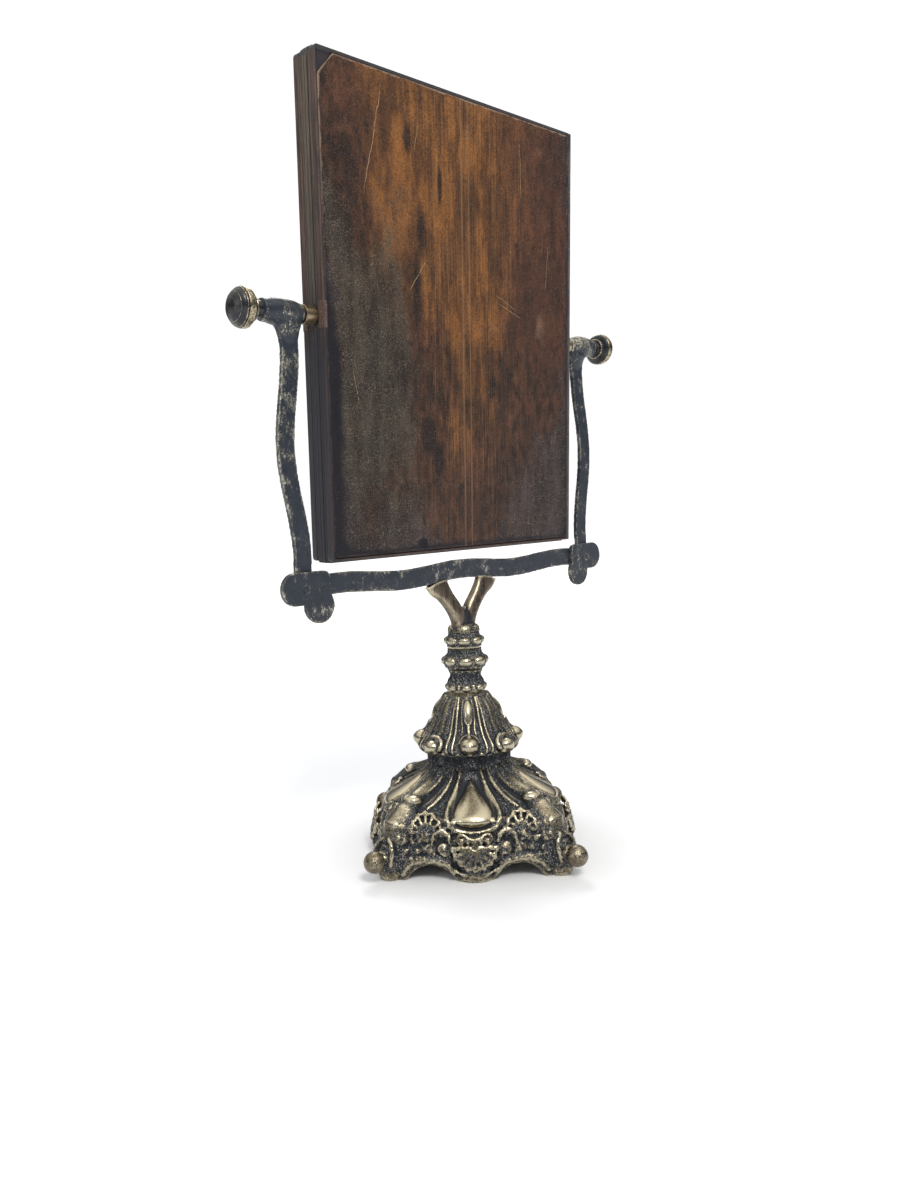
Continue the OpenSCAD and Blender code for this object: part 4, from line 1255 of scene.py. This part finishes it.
def painted_bars():
    def left(x, y, z):
        barrel = smooth(PIVOT_Z - 9, PIVOT_Z, z) * smooth(-140, -128, x) * 1.0
        upper = smooth(232, 262, z) * smooth(334, 318, z)
        return 0.26 * upper + 0.30 * barrel + 0.08 * smooth(215, 232, z)

    def right(x, y, z):
        barrel = smooth(PIVOT_Z - 9, PIVOT_Z, z) * smooth(142, 128, x)
        return 0.14 * smooth(230, 300, z) + 0.40 * barrel

    def bar(x, y, z):
        return 0.26 * bump_at(x, -10, 26) + 0.20 * bump_at(x, -84, 18)

    def plate(x, y, z):
        return 0.12 * smooth(188, 176, z)

    recast("left_arm", "yoke", left, extra=arm_top("left_arm"))
    recast("right_arm", "yoke", right, extra=arm_top("right_arm"))
    recast("crossbar", "yoke", bar)
    recast("left_corner_plate", "yoke", plate)
    recast("right_corner_plate", "yoke", plate)


# ---------- pivots ----------

def turned_piece(name, start, side, profile, body, slot, material, node, sides=112):
    """A lathe shape along X: profile rows are (radius, distance from start, band)."""
    rows = through(profile, 4)
    form = Form()
    form.turned([(r, d) for r, d, band in rows], sides)
    place = Matrix.Translation((start, 0, PIVOT_Z)) @ Matrix.Rotation(math.radians(90 * side), 4, "Y")
    mesh = form.mesh(name, place)
    bands = np.repeat([float(np.clip(band, 0, 1)) for r, d, band in rows], sides)
    mark(mesh, "band", bands)
    unevenness(mesh, 4, 0.06)
    return put(name, mesh, body, slot, material, node)


def pivots():
    knob = [(2.2, 0.02, 0.1), (4.6, 0.02, 0.1), (4.7, 1.6, 0.1), (4.5, 3.6, 0.0), (5.4, 4.5, 0.1),
            (6.9, 4.9, 0.8),
            (7.1, 5.6, 0.9), (6.5, 6.2, 0.1), (7.2, 6.9, 0.0), (8.9, 7.7, 0.1), (9.9, 8.3, 0.3),
            (10.2, 8.8, 0.1),
            (10.8, 9.3, 0.9), (11.0, 10.2, 0.95), (11.0, 11.7, 0.95), (10.8, 12.8, 0.9), (10.1, 13.2, 0.0),
            (10.1, 13.5, 0.0),
            (10.4, 13.9, 0.9), (10.2, 14.3, 0.6), (9.7, 14.7, 0.0), (9.2, 15.5, 0.1), (8.5, 16.2, 0.1),
            (8.0, 16.6, 0.1),
            (7.8, 16.9, 0.75), (7.5, 17.1, 0.1), (6.2, 17.9, 0.1), (4.6, 18.6, 0.12), (4.3, 18.8, 0.5),
            (4.0, 18.9, 0.1),
            (2.0, 19.4, 0.15), (0.1, 19.6, 0.3)]
    ferrule_r = (high("right_ferrule").z - low("right_ferrule").z) / 2
    ferrule_l = high("right_ferrule").x - low("right_ferrule").x
    ferrule = [(2.1, 0.05, 1), (ferrule_r - 0.7, 0.05, 1), (ferrule_r - 0.15, 0.35, 0.4),
               (ferrule_r, 0.9, 0),
               (ferrule_r - 0.06, ferrule_l * 0.45, 0), (ferrule_r, ferrule_l - 2.0, 0),
               (ferrule_r - 0.1, ferrule_l - 1.5, 0.2),
               (ferrule_r - 0.6, ferrule_l - 1.1, 1), (ferrule_r - 0.6, ferrule_l - 0.3, 1),
               (2.1, ferrule_l - 0.1, 1)]
    for side, word in ((1, "right"), (-1, "left")):
        knob_at = low("right_knob").x
        turned_piece(word + "_knob_turning", side * knob_at, side, knob, word + "_screw", "knob_metal",
                     MATERIALS["knob"], word + "_knob")
        turned_piece(word + "_ferrule_turning", side * low("right_ferrule").x, side, ferrule, "album",
                     "worn_brass",
                     MATERIALS["ferrule"], word + "_ferrule")


# ---------- album ----------

def stations(length, round_r, marks=(), pitch=2.0):
    """Distances across a slab, closer together at its rounded edges and beside marked lines."""
    edge = [0.0, 0.08, 0.25, 0.5, 0.78, 1.0]
    found = {round(round_r * e, 3) for e in edge} | {round(length - round_r * e, 3) for e in edge}
    count = max(2, int(length / pitch))
    found |= {round(round_r + (length - 2 * round_r) * i / count, 3) for i in range(count + 1)}
    for m in marks:
        found |= {round(m - 0.04, 3), round(m + 0.04, 3)}
    return sorted(found)


def slab(box_low, box_high, round_r, left=None, right=None, front=None, back=None, marks=((), ()),
         pitch=2.0):
    """A flat piece in the XZ plane with rounded edges.

    left and right give the outline's X at each Z.
    front and back say how far each face is sunk at (X, Z, distance
    from the outline). Returns the mesh, with the rim distance marked, and its points in millimetres."""
    left = left or (lambda z: box_low.x)
    right = right or (lambda z: box_high.x)
    across = stations(box_high.x - box_low.x, round_r, marks[0], pitch)
    up = stations(box_high.z - box_low.z, round_r, marks[1], pitch)
    width, height = across[-1], up[-1]
    thick = box_high.y - box_low.y
    grid = [[], []]
    rims = []
    for v in up:
        z = box_low.z + v
        x0, x1 = left(z), right(z)
        for u in across:
            shift0, shift1 = x0 - box_low.x, box_high.x - x1
            near = 1 - u / width
            x = box_low.x + u + shift0 * near ** 6 - shift1 * (1 - near) ** 6
            rim = min(u, width - u, v, height - v)
            fall = round_r - math.sqrt(max(round_r ** 2 - max(round_r - rim, 0) ** 2, 0))
            fall = min(fall, thick / 2 - 0.02)
            rims.append(rim)
            grid[0].append((x, box_low.y + fall + (front(x, z, rim) if front else 0), z))
            grid[1].append((x, box_high.y - fall - (back(x, z, rim) if back else 0), z))
    cols, rows = len(across), len(up)
    start = cols * rows
    faces = []
    for j in range(rows - 1):
        for i in range(cols - 1):
            a, b, c, d = j * cols + i, j * cols + i + 1, (j + 1) * cols + i + 1, (j + 1) * cols + i
            faces += [(a, b, c, d), (start + d, start + c, start + b, start + a)]
    border = [i for i in range(cols)] + [j * cols + cols - 1 for j in range(1, rows)]
    border += [(rows - 1) * cols + i for i in range(cols - 2, -1, -1)] + [j * cols
                                                                          for j in range(rows - 2, 0, -1)]
    for a, b in zip(border, border[1:] + border[:1]):
        faces.append((b, a, start + a, start + b))
    form = Form()
    form.add(grid[0] + grid[1], faces)
    mesh = form.mesh("slab", LEANING)
    mark(mesh, "rim", rims + rims)
    points = np.array(grid[0] + grid[1])
    # Painted shade for every slab of the album, for its material to read.
    mark(mesh, "painted_shade", painted_shade_at(points[:, 0], points[:, 2]))
    mark(mesh, "height", (points[:, 2] - box_low.z) / (box_high.z - box_low.z))
    return mesh, points


def painted_shade_at(x, z):
    """How much painted shade the album gets: most at its lower fore-edge and its very top."""
    v = (z - ALBUM_LOW.z) / ALBUM_H
    u = (x - ALBUM_LOW.x) / (ALBUM_HIGH.x - ALBUM_LOW.x)
    return smooth(0.10, 0.0, u) * (0.25 + 0.75 * smooth(0.62, 0.30, v)) * 0.95 + 0.9 * smooth(0.985, 1.0, v)


def rounded(box_low, box_high, low_r, high_r):
    """How far an edge draws in near its ends, for two corner radii."""
    def inset(z):
        for r, d in ((low_r, z - box_low.z), (high_r, box_high.z - z)):
            if r and d < r:
                return r - math.sqrt(max(r * r - (r - max(d, 0)) ** 2, 0))
        return 0.0
    return inset


def wander(x, z, seed, size=24.0):
    return noise.noise(Vector((x / size, seed, z / size)))


def cover(side, word):
    """A cover: its board with a sunk field, and the leather panel in the field."""
    body = word + "_cover"
    board_low, board_high = album_box(word + "_cover_board")
    panel_low, panel_high = album_box(word + "_cover_panel")
    depth = panel_high.y - panel_low.y
    rim_w = panel_low.x - board_low.x - 0.5

    def sunk(x, z, rim):
        """The field that the panel lies in."""
        inside = rim > rim_w and x < board_high.x - 0.2
        return depth * 1.0 if inside else 0.05 * wander(x, z, 3.0 + side, 9)

    inset = rounded(board_low, board_high, 2.0, 2.4)
    outline = {"left": lambda z: board_low.x + inset(z), "marks": ((rim_w,), (rim_w, ALBUM_H - rim_w))}
    faces = {"front": sunk} if side < 0 else {"back": sunk}
    mesh, points = slab(board_low, board_high, 0.6, **outline, **faces)
    # Painted shade: full over the sunk field round the panel, and the album's painted shade elsewhere.
    field = [1.3 if sunk(x, z, min(x - board_low.x, z - board_low.z, board_high.z - z)) > 0.5 else painted_shade
             for (x, y, z), painted_shade in zip(points, painted_shade_at(points[:, 0], points[:, 2]))]
    mark(mesh, "painted_shade", field)
    rim = np.zeros(len(points), np.float32)
    mesh.attributes["rim"].data.foreach_get("value", rim)
    inner = np.abs(points[:, 1] - (board_high.y if side < 0 else board_low.y)) < 0.4
    mark(mesh, "lining", np.where(inner, np.clip(rim - 6.0, -2, 2), -2))
    put(word + "_cover_case", mesh, body, "leather_edge", MATERIALS["board"], word + "_cover_board")

    # The panel's corners: a long clip at the top of the fore-edge, a short one below,
    # round ones at the hinge
    def panel_left(z):
        top, foot = panel_high.z - z, z - panel_low.z
        clip = 11.5 * max(0.0, 1 - top / 12.5) + 3.6 * max(0.0, 1 - foot / 3.2)
        return panel_low.x + clip + 0.12 * wander(0, z, 6.0, 5)

    hinge_inset = rounded(panel_low, panel_high, 3.0, 3.0)

    def pillow(x, z, rim):
        """The panel swells a little inside its edges, and wanders."""
        crown = 0.30 * math.exp(-rim / 9.0)
        raised = sum(math.exp(-((x - at) / 0.5) ** 2) for at in ridge_lines()) if side < 0 else 0
        torn = 0.9 * float(torn_at(x, z)) if side < 0 else 0
        return (crown + torn + 0.12 - 0.12 * raised - 0.10 * wander(x, z, 8.0 + side)
                - 0.05 * wander(x, z, 4.0 + side, 6))

    outline = {"left": panel_left, "right": lambda z: panel_high.x - hinge_inset(z)}
    faces = {"front": pillow} if side < 0 else {"back": pillow}
    lines = [at - panel_low.x + d for at in ridge_lines() for d in (-0.4, 0.0, 0.4)]
    mesh, points = slab(panel_low, panel_high, 0.9, **outline, **faces, marks=(lines, ()), pitch=1.4)
    paint_panel(mesh, points, side)
    put(word + "_leather_panel", mesh, body, "leather_panel", MATERIALS[word + "_panel"],
        word + "_cover_panel")


def ridge_lines():
    """X of the two fine raised lines down the front cover, left by the joint of the boards beneath."""
    width = ALBUM_HIGH.x - ALBUM_LOW.x
    return [ALBUM_LOW.x + width * share for share in (0.512, 0.541)]


def torn_at(x, z):
    """The torn notch in the front panel's lower edge, 1 at its middle."""
    if not np.isscalar(x):
        return np.array([torn_at(float(a), float(b)) for a, b in zip(x, z)])
    across = ALBUM_LOW.x + 0.336 * (ALBUM_HIGH.x - ALBUM_LOW.x)
    ragged = 1.2 * wander(across, 4 * z, 2.0, 9)
    return bump_at(x, across + ragged, 3.6) * smooth(10.5, 8.0, z - ALBUM_LOW.z)


def paint_panel(mesh, points, side):
    """Marks where the leather is golden, rusty, greyed (partly a painted reflection), stained, in painted
    shade, streaked and worn.
    """
    x, z, rim = points[:, 0], points[:, 2], np.zeros(len(points), np.float32)
    mesh.attributes["rim"].data.foreach_get("value", rim)
    u = (x - x.min()) / (x.max() - x.min())
    v = (z - z.min()) / (z.max() - z.min())
    if side > 0:
        u, v = 0.12 + 0.8 * u, 0.30 + 0.6 * v
    rise = smooth(0.15, 0.85, v)
    amber = 1.0 * smooth(0.04, 0.22, u) * smooth(1.0, 0.60, u) * rise
    amber += 0.60 * bump_at(u, 0.54, 0.10 + 0.04 * rise) * (0.55 + 0.45 * smooth(0.0, 0.4, v))
    amber += 0.40 * bump_at(u, 0.34, 0.22) * bump_at(v, 0.97, 0.07)
    rust = (0.85 * smooth(0.56, 0.74, u) * smooth(0.30, 0.52, v)
            + 0.7 * bump_at(u, 0.08, 0.08) * bump_at(v, 0.94, 0.10))
    rust += 0.8 * bump_at(u, 0.54, 0.07) * smooth(0.50, 0.15, v)
    # Greying, partly a painted grey reflection: left middle, top left, foot and right edge.
    dull = (1.05 * bump_at(u, 0.18, 0.16) * bump_at(v, 0.38, 0.30)
            + 0.9 * smooth(0.62, 0.84, u) * smooth(0.42, 0.12, v))
    dull += 0.75 * smooth(0.14, 0.0, u) * smooth(0.90, 0.70, v)
    dull += 0.55 * smooth(0.20, 0.02, v) * (1 - bump_at(u, 0.54, 0.1)) + 0.5 * smooth(0.90, 0.99, u)
    dull *= 1 - 0.75 * bump_at(u, 0.54, 0.09)
    cool = smooth(0.26, 0.56, u) + 0.55 * smooth(0.25, 0.0, v) + 0.5 * smooth(0.10, 0.0, u)
    stains = (
        (0.300, 0.880, 0.017, 0.035, 1.10), (0.420, 0.800, 0.010, 0.050, 1.10),
        (0.350, 0.690, 0.022, 0.060, 0.85),
        (0.325, 0.570, 0.020, 0.100, 0.95), (0.270, 0.390, 0.010, 0.060, 0.95),
        (0.360, 0.260, 0.026, 0.038, 1.80),
        (0.400, 0.205, 0.018, 0.040, 1.50), (0.450, 0.430, 0.008, 0.080, 0.85),
        (0.440, 0.330, 0.007, 0.050, 0.70),
        (0.590, 0.840, 0.020, 0.110, 0.50), (0.800, 0.600, 0.030, 0.060, 0.40),
        (0.690, 0.470, 0.020, 0.090, 0.45),
        (0.090, 0.780, 0.035, 0.080, 0.60), (0.920, 0.780, 0.020, 0.120, 0.60),
        (0.640, 0.270, 0.030, 0.070, 0.40),
    )
    stain = np.zeros(len(u))
    for at_u, at_v, wide, tall, strength in stains:
        stain = np.maximum(stain, strength * bump_at(u, at_u, wide) * bump_at(v, at_v, tall))
    torn = 2.0 * torn_at(x, z) if side < 0 else 0 * u
    # Painted shade: the fore-edge, foot and right edge of the panel, its last few millimetres of rim, and
    # the torn notch.
    painted_shade = smooth(0.085, 0.0, u) * (0.18 + 1.0 * smooth(0.66, 0.40, v)) + 0.60 * smooth(0.045, 0.0, v)
    painted_shade += 0.40 * smooth(0.965, 1.0, u) + 0.35 * smooth(4.0, 0.5, rim)
    pale = (0.9 * bump_at(u, 0.86, 0.030) * bump_at(v, 0.525, 0.045)
            + 0.5 * bump_at(u, 0.87, 0.03) * bump_at(v, 0.94, 0.03))
    ridge = sum(bump_at(x, at, 0.42) for at in ridge_lines()) if side < 0 else 0 * u
    gap = 0.35 + 0.65 * np.array([0.5 + wander(0, h, 5.0, 16) for h in z])
    mark(mesh, "amber", np.clip(amber, 0, 1.3))
    mark(mesh, "rust", np.clip(rust, 0, 1.2))
    mark(mesh, "dull", np.clip(dull, 0, 1.2))
    mark(mesh, "cool", np.clip(cool, 0, 1))
    mark(mesh, "stain", np.maximum(stain, torn))
    mark(mesh, "painted_shade", np.clip(np.maximum(painted_shade, torn), 0, 1.2))
    mark(mesh, "pale", pale)
    mark(mesh, "ridge", np.clip(ridge * gap * 1.2, 0, 1))
    mark(mesh, "streaks", np.clip(bump_at(u, 0.53, 0.16) + 0.35 * smooth(0.22, 0.40, u)
                                  * smooth(0.95, 0.8, u), 0, 1))
    mark(mesh, "edge_wear", 0.15 + 0.85 * smooth(0.66, 0.92, v))


def leaf(side, word):
    """A window leaf, and the blank card in its pocket."""
    body = word + "_leaf_body"
    leaf_low, leaf_high = album_box(word + "_leaf")
    card_low, card_high = album_box(word + "_photo_card")
    lip = 5.0
    depth = (card_low.y - leaf_low.y) if side < 0 else (leaf_high.y - card_high.y)

    def window(x, z, rim):
        """The bevelled window, with a fine sunk line round it."""
        inside = min(x - card_low.x, card_high.x - x, z - card_low.z, card_high.z - z) - lip
        if inside > 0:
            return depth + 0.35
        if inside > -0.9:
            return depth * (0.9 + inside) / 0.9 * 0.8
        line = 0.10 if -4.2 < inside < -3.6 else 0.0
        return line

    marks_x = [m - leaf_low.x for x in (card_low.x + lip, card_high.x - lip) for m in (x, x - 0.9, x + 0.9)]
    marks_z = [m - leaf_low.z for z in (card_low.z + lip, card_high.z - lip) for m in (z, z - 0.9, z + 0.9)]
    frame_lines_x = [m - leaf_low.x for m in (card_low.x + lip - 4.2, card_low.x + lip - 3.6,
                                              card_high.x - lip + 3.6,
                                              card_high.x - lip + 4.2)]
    frame_lines_z = [m - leaf_low.z for m in (card_low.z + lip - 4.2, card_low.z + lip - 3.6,
                                              card_high.z - lip + 3.6,
                                              card_high.z - lip + 4.2)]
    faces = {"front": window} if side < 0 else {"back": window}
    inset = rounded(leaf_low, leaf_high, 2.0, 3.0)
    mesh, points = slab(leaf_low, leaf_high, 0.45, left=lambda z: leaf_low.x + inset(z), **faces,
                        marks=(marks_x + frame_lines_x, marks_z + frame_lines_z), pitch=4.0)
    put(word + "_window_leaf", mesh, body, "card_edge", MATERIALS["card"], word + "_leaf")
    mesh, points = slab(card_low, card_high, 0.2, pitch=6.0,
                        front=lambda x, z, rim: 0.05 * wander(x, z, 9.0, 40) + 0.05)
    put(word + "_album_card", mesh, body, "photo_paper", MATERIALS["print"], word + "_photo_card")


def centre_board():
    """Two pasteboards back to back, with a groove between them at the fore-edge."""
    board_low, board_high = album_box("centre_board")
    middle = (board_low.y + board_high.y) / 2
    inset = rounded(board_low, board_high, 2.0, 3.0)
    halves = []
    for y0, y1 in ((board_low.y, middle), (middle, board_high.y)):
        mesh, points = slab(Vector((board_low.x, y0, board_low.z)),
                            Vector((board_high.x, y1, board_high.z)), 0.5,
                            left=lambda z: board_low.x + inset(z), pitch=5.0)
        halves.append(mesh)
    for i, mesh in enumerate(halves):
        name = ("front", "rear")[i] + "_centre_pasteboard"
        put(name, mesh, "album", "card_edge", MATERIALS["card"], *(("centre_board",) if i == 0 else ()))


def album_spine():
    """The leather back, rounded over at both faces, with a slight wander in its surface."""
    spine_low, spine_high = album_box("album_spine")

    def groove(x, z, rim):
        return 0.06 * wander(x, z, 2.0, 5)

    mesh, points = slab(spine_low, spine_high, 1.0, front=groove, back=groove, pitch=2.5)
    co = points
    v = (co[:, 2] - spine_low.z) / (spine_high.z - spine_low.z)
    # Painted shade: a dark band at the top of the spine and a lighter one at its foot.
    mark(mesh, "painted_shade", 0.9 * smooth(0.955, 0.965, v) + 0.25 * smooth(0.2, 0.0, v))
    put("album_spine_leather", mesh, "album", "leather_edge", MATERIALS["spine"], "album_spine")


# ---------- plain hardware that keeps its CAD shape ----------

def finish_node(node, material, edge=0.15, proud=0.0):
    """Gives a CAD node its material, softens its edges, and swells it, by distances in millimetres."""
    piece = frame["nodes"][node]
    for i in range(len(piece.data.materials)):
        piece.data.materials[i] = material
    soften = piece.modifiers.new("soften", "BEVEL")
    soften.width, soften.segments, soften.limit_method = edge * MM, 2, "ANGLE"
    if proud:
        swell = piece.modifiers.new("swell", "DISPLACE")
        swell.strength, swell.mid_level = proud * MM, 0


def hardware():
    finish_node("corner_rivets", MATERIALS["paint"])
    for node in ("tie_washer", "tie_rod", "tie_nut", "fork_screws", "left_pivot_screw",
                 "right_pivot_screw", "left_socket", "right_socket"):
        finish_node(node, MATERIALS["steel"])
    for word in ("front", "rear"):
        finish_node(word + "_edge_clip", MATERIALS["clip"], proud=0.14)


# ---------- surroundings ----------

def floor():
    half = 6.0
    mesh = bpy.data.meshes.new("floor")
    mesh.from_pydata([(-half, -half, 0), (half, -half, 0), (half, half, 0), (-half, half, 0)], [],
                     [(0, 1, 2, 3)])
    f = Finish("pale_floor")
    paper = f.mix(f.noise(40, 3), (0.90, 0.90, 0.90), (0.93, 0.93, 0.93))
    away = f.node("VectorMath", {0: f.place}, operation="LENGTH").outputs["Value"]
    # The floor glows more with distance so that it stays white far off, and its glow fades to nothing under
    # the stand as a painted contact shadow.
    glow_and_painted_shadow = f.plus(f.range(away, 0.0, 0.45, 0.2, 1.6), f.range(away, 0.0, 0.30, 0.07, 0.17))
    f.link(glow_and_painted_shadow, f.shader.inputs["Emission Strength"])
    mesh.materials.append(f.done(paper, 0.9, Specular_IOR_Level=0.1, Emission_Color=(1, 1, 1, 1)))
    plane = bpy.data.objects.new("floor", mesh)
    bpy.context.scene.collection.objects.link(plane)


def area_light(name, at, target, size, power, tint=(1, 1, 1)):
    data = bpy.data.lights.new(name, "AREA")
    data.shape, data.size, data.energy, data.color = "DISK", size, power, tint
    lamp = bpy.data.objects.new(name, data)
    bpy.context.scene.collection.objects.link(lamp)
    lamp.location = at
    lamp.rotation_mode = "QUATERNION"
    lamp.rotation_quaternion = (Vector(target) - Vector(at)).to_track_quat("-Z", "Y")


def studio():
    """White to the eye, softer light on the stand, and a darker room in its reflections."""
    world = bpy.data.worlds.new("studio")
    bpy.context.scene.world = world
    world.use_nodes = True
    nodes, links = world.node_tree.nodes, world.node_tree.links
    light = nodes["Background"]
    light.inputs["Color"].default_value = (0.94, 0.97, 1.0, 1)
    light.inputs["Strength"].default_value = 0.50
    seen = nodes.new("ShaderNodeBackground")
    seen.inputs["Color"].default_value = (1, 1, 1, 1)
    seen.inputs["Strength"].default_value = 1.05
    room = nodes.new("ShaderNodeBackground")
    height = nodes.new("ShaderNodeSeparateXYZ")
    links.new(nodes.new("ShaderNodeTexCoord").outputs["Generated"], height.inputs[0])
    ramp = nodes.new("ShaderNodeValToRGB")
    stops = ramp.color_ramp.elements
    stops[0].position, stops[0].color = 0.46, (0.03, 0.036, 0.05, 1)
    stops[1].position, stops[1].color = 0.95, (1.7, 1.65, 1.55, 1)
    middle = stops.new(0.66)
    middle.color = (0.12, 0.13, 0.155, 1)
    rise = nodes.new("ShaderNodeMath")
    rise.operation = "MULTIPLY_ADD"
    rise.inputs[1].default_value = rise.inputs[2].default_value = 0.5
    links.new(height.outputs["Z"], rise.inputs[0])
    links.new(rise.outputs[0], ramp.inputs[0])
    links.new(ramp.outputs[0], room.inputs["Color"])
    ray = nodes.new("ShaderNodeLightPath")
    glossy, direct = nodes.new("ShaderNodeMixShader"), nodes.new("ShaderNodeMixShader")
    links.new(ray.outputs["Is Glossy Ray"], glossy.inputs[0])
    links.new(light.outputs[0], glossy.inputs[1])
    links.new(room.outputs[0], glossy.inputs[2])
    links.new(ray.outputs["Is Camera Ray"], direct.inputs[0])
    links.new(glossy.outputs[0], direct.inputs[1])
    links.new(seen.outputs[0], direct.inputs[2])
    links.new(direct.outputs[0], nodes["World Output"].inputs["Surface"])
    aim = (0, 0, 0.22)
    area_light("key", (-0.75, -1.35, 1.8), aim, 0.7, 27, (1.0, 0.98, 0.95))
    area_light("fill", (-1.8, 0.1, 0.9), aim, 0.5, 3, (0.90, 0.95, 1.0))
    area_light("back", (1.0, 1.1, 1.6), aim, 0.8, 12)
    bpy.context.scene.view_settings.view_transform = "Standard"


def camera():
    """The viewpoint: a little above the base, turned and slightly rolled."""
    azimuth, pitch, roll = (math.radians(a) for a in (42.141, 8.002, -2.952))
    flat = Vector((math.sin(azimuth), math.cos(azimuth), 0))
    side = Vector((math.cos(azimuth), -math.sin(azimuth), 0))
    forward = flat * math.cos(pitch) - Vector((0, 0, math.sin(pitch)))
    up = Vector((0, 0, math.cos(pitch))) + flat * math.sin(pitch)
    right = side * math.cos(roll) + up * math.sin(roll)
    top = up * math.cos(roll) - side * math.sin(roll)
    data = bpy.data.cameras.new("camera")
    data.sensor_width, data.lens = 36, 28.79
    data.shift_x, data.shift_y = 0.0438, 0.0349
    data.clip_start, data.clip_end = 0.01, 50
    eye = bpy.data.objects.new("camera", data)
    bpy.context.scene.collection.objects.link(eye)
    turn = Matrix((right, top, -forward)).transposed().to_4x4()
    eye.matrix_world = Matrix.Translation(Vector((-464.6, -446.3, 236.0)) * MM) @ turn
    bpy.context.scene.camera = eye


camera()
studio()
floor()
base_skirt()
corner_balls()
base_bell()
lower_bead_collar()
upper_bead_collar()
swivel_cap()
yoke_fork()
painted_bars()
pivots()
for which, title in ((-1, "front"), (1, "rear")):
    cover(which, title)
    leaf(which, title)
centre_board()
album_spine()
hardware()
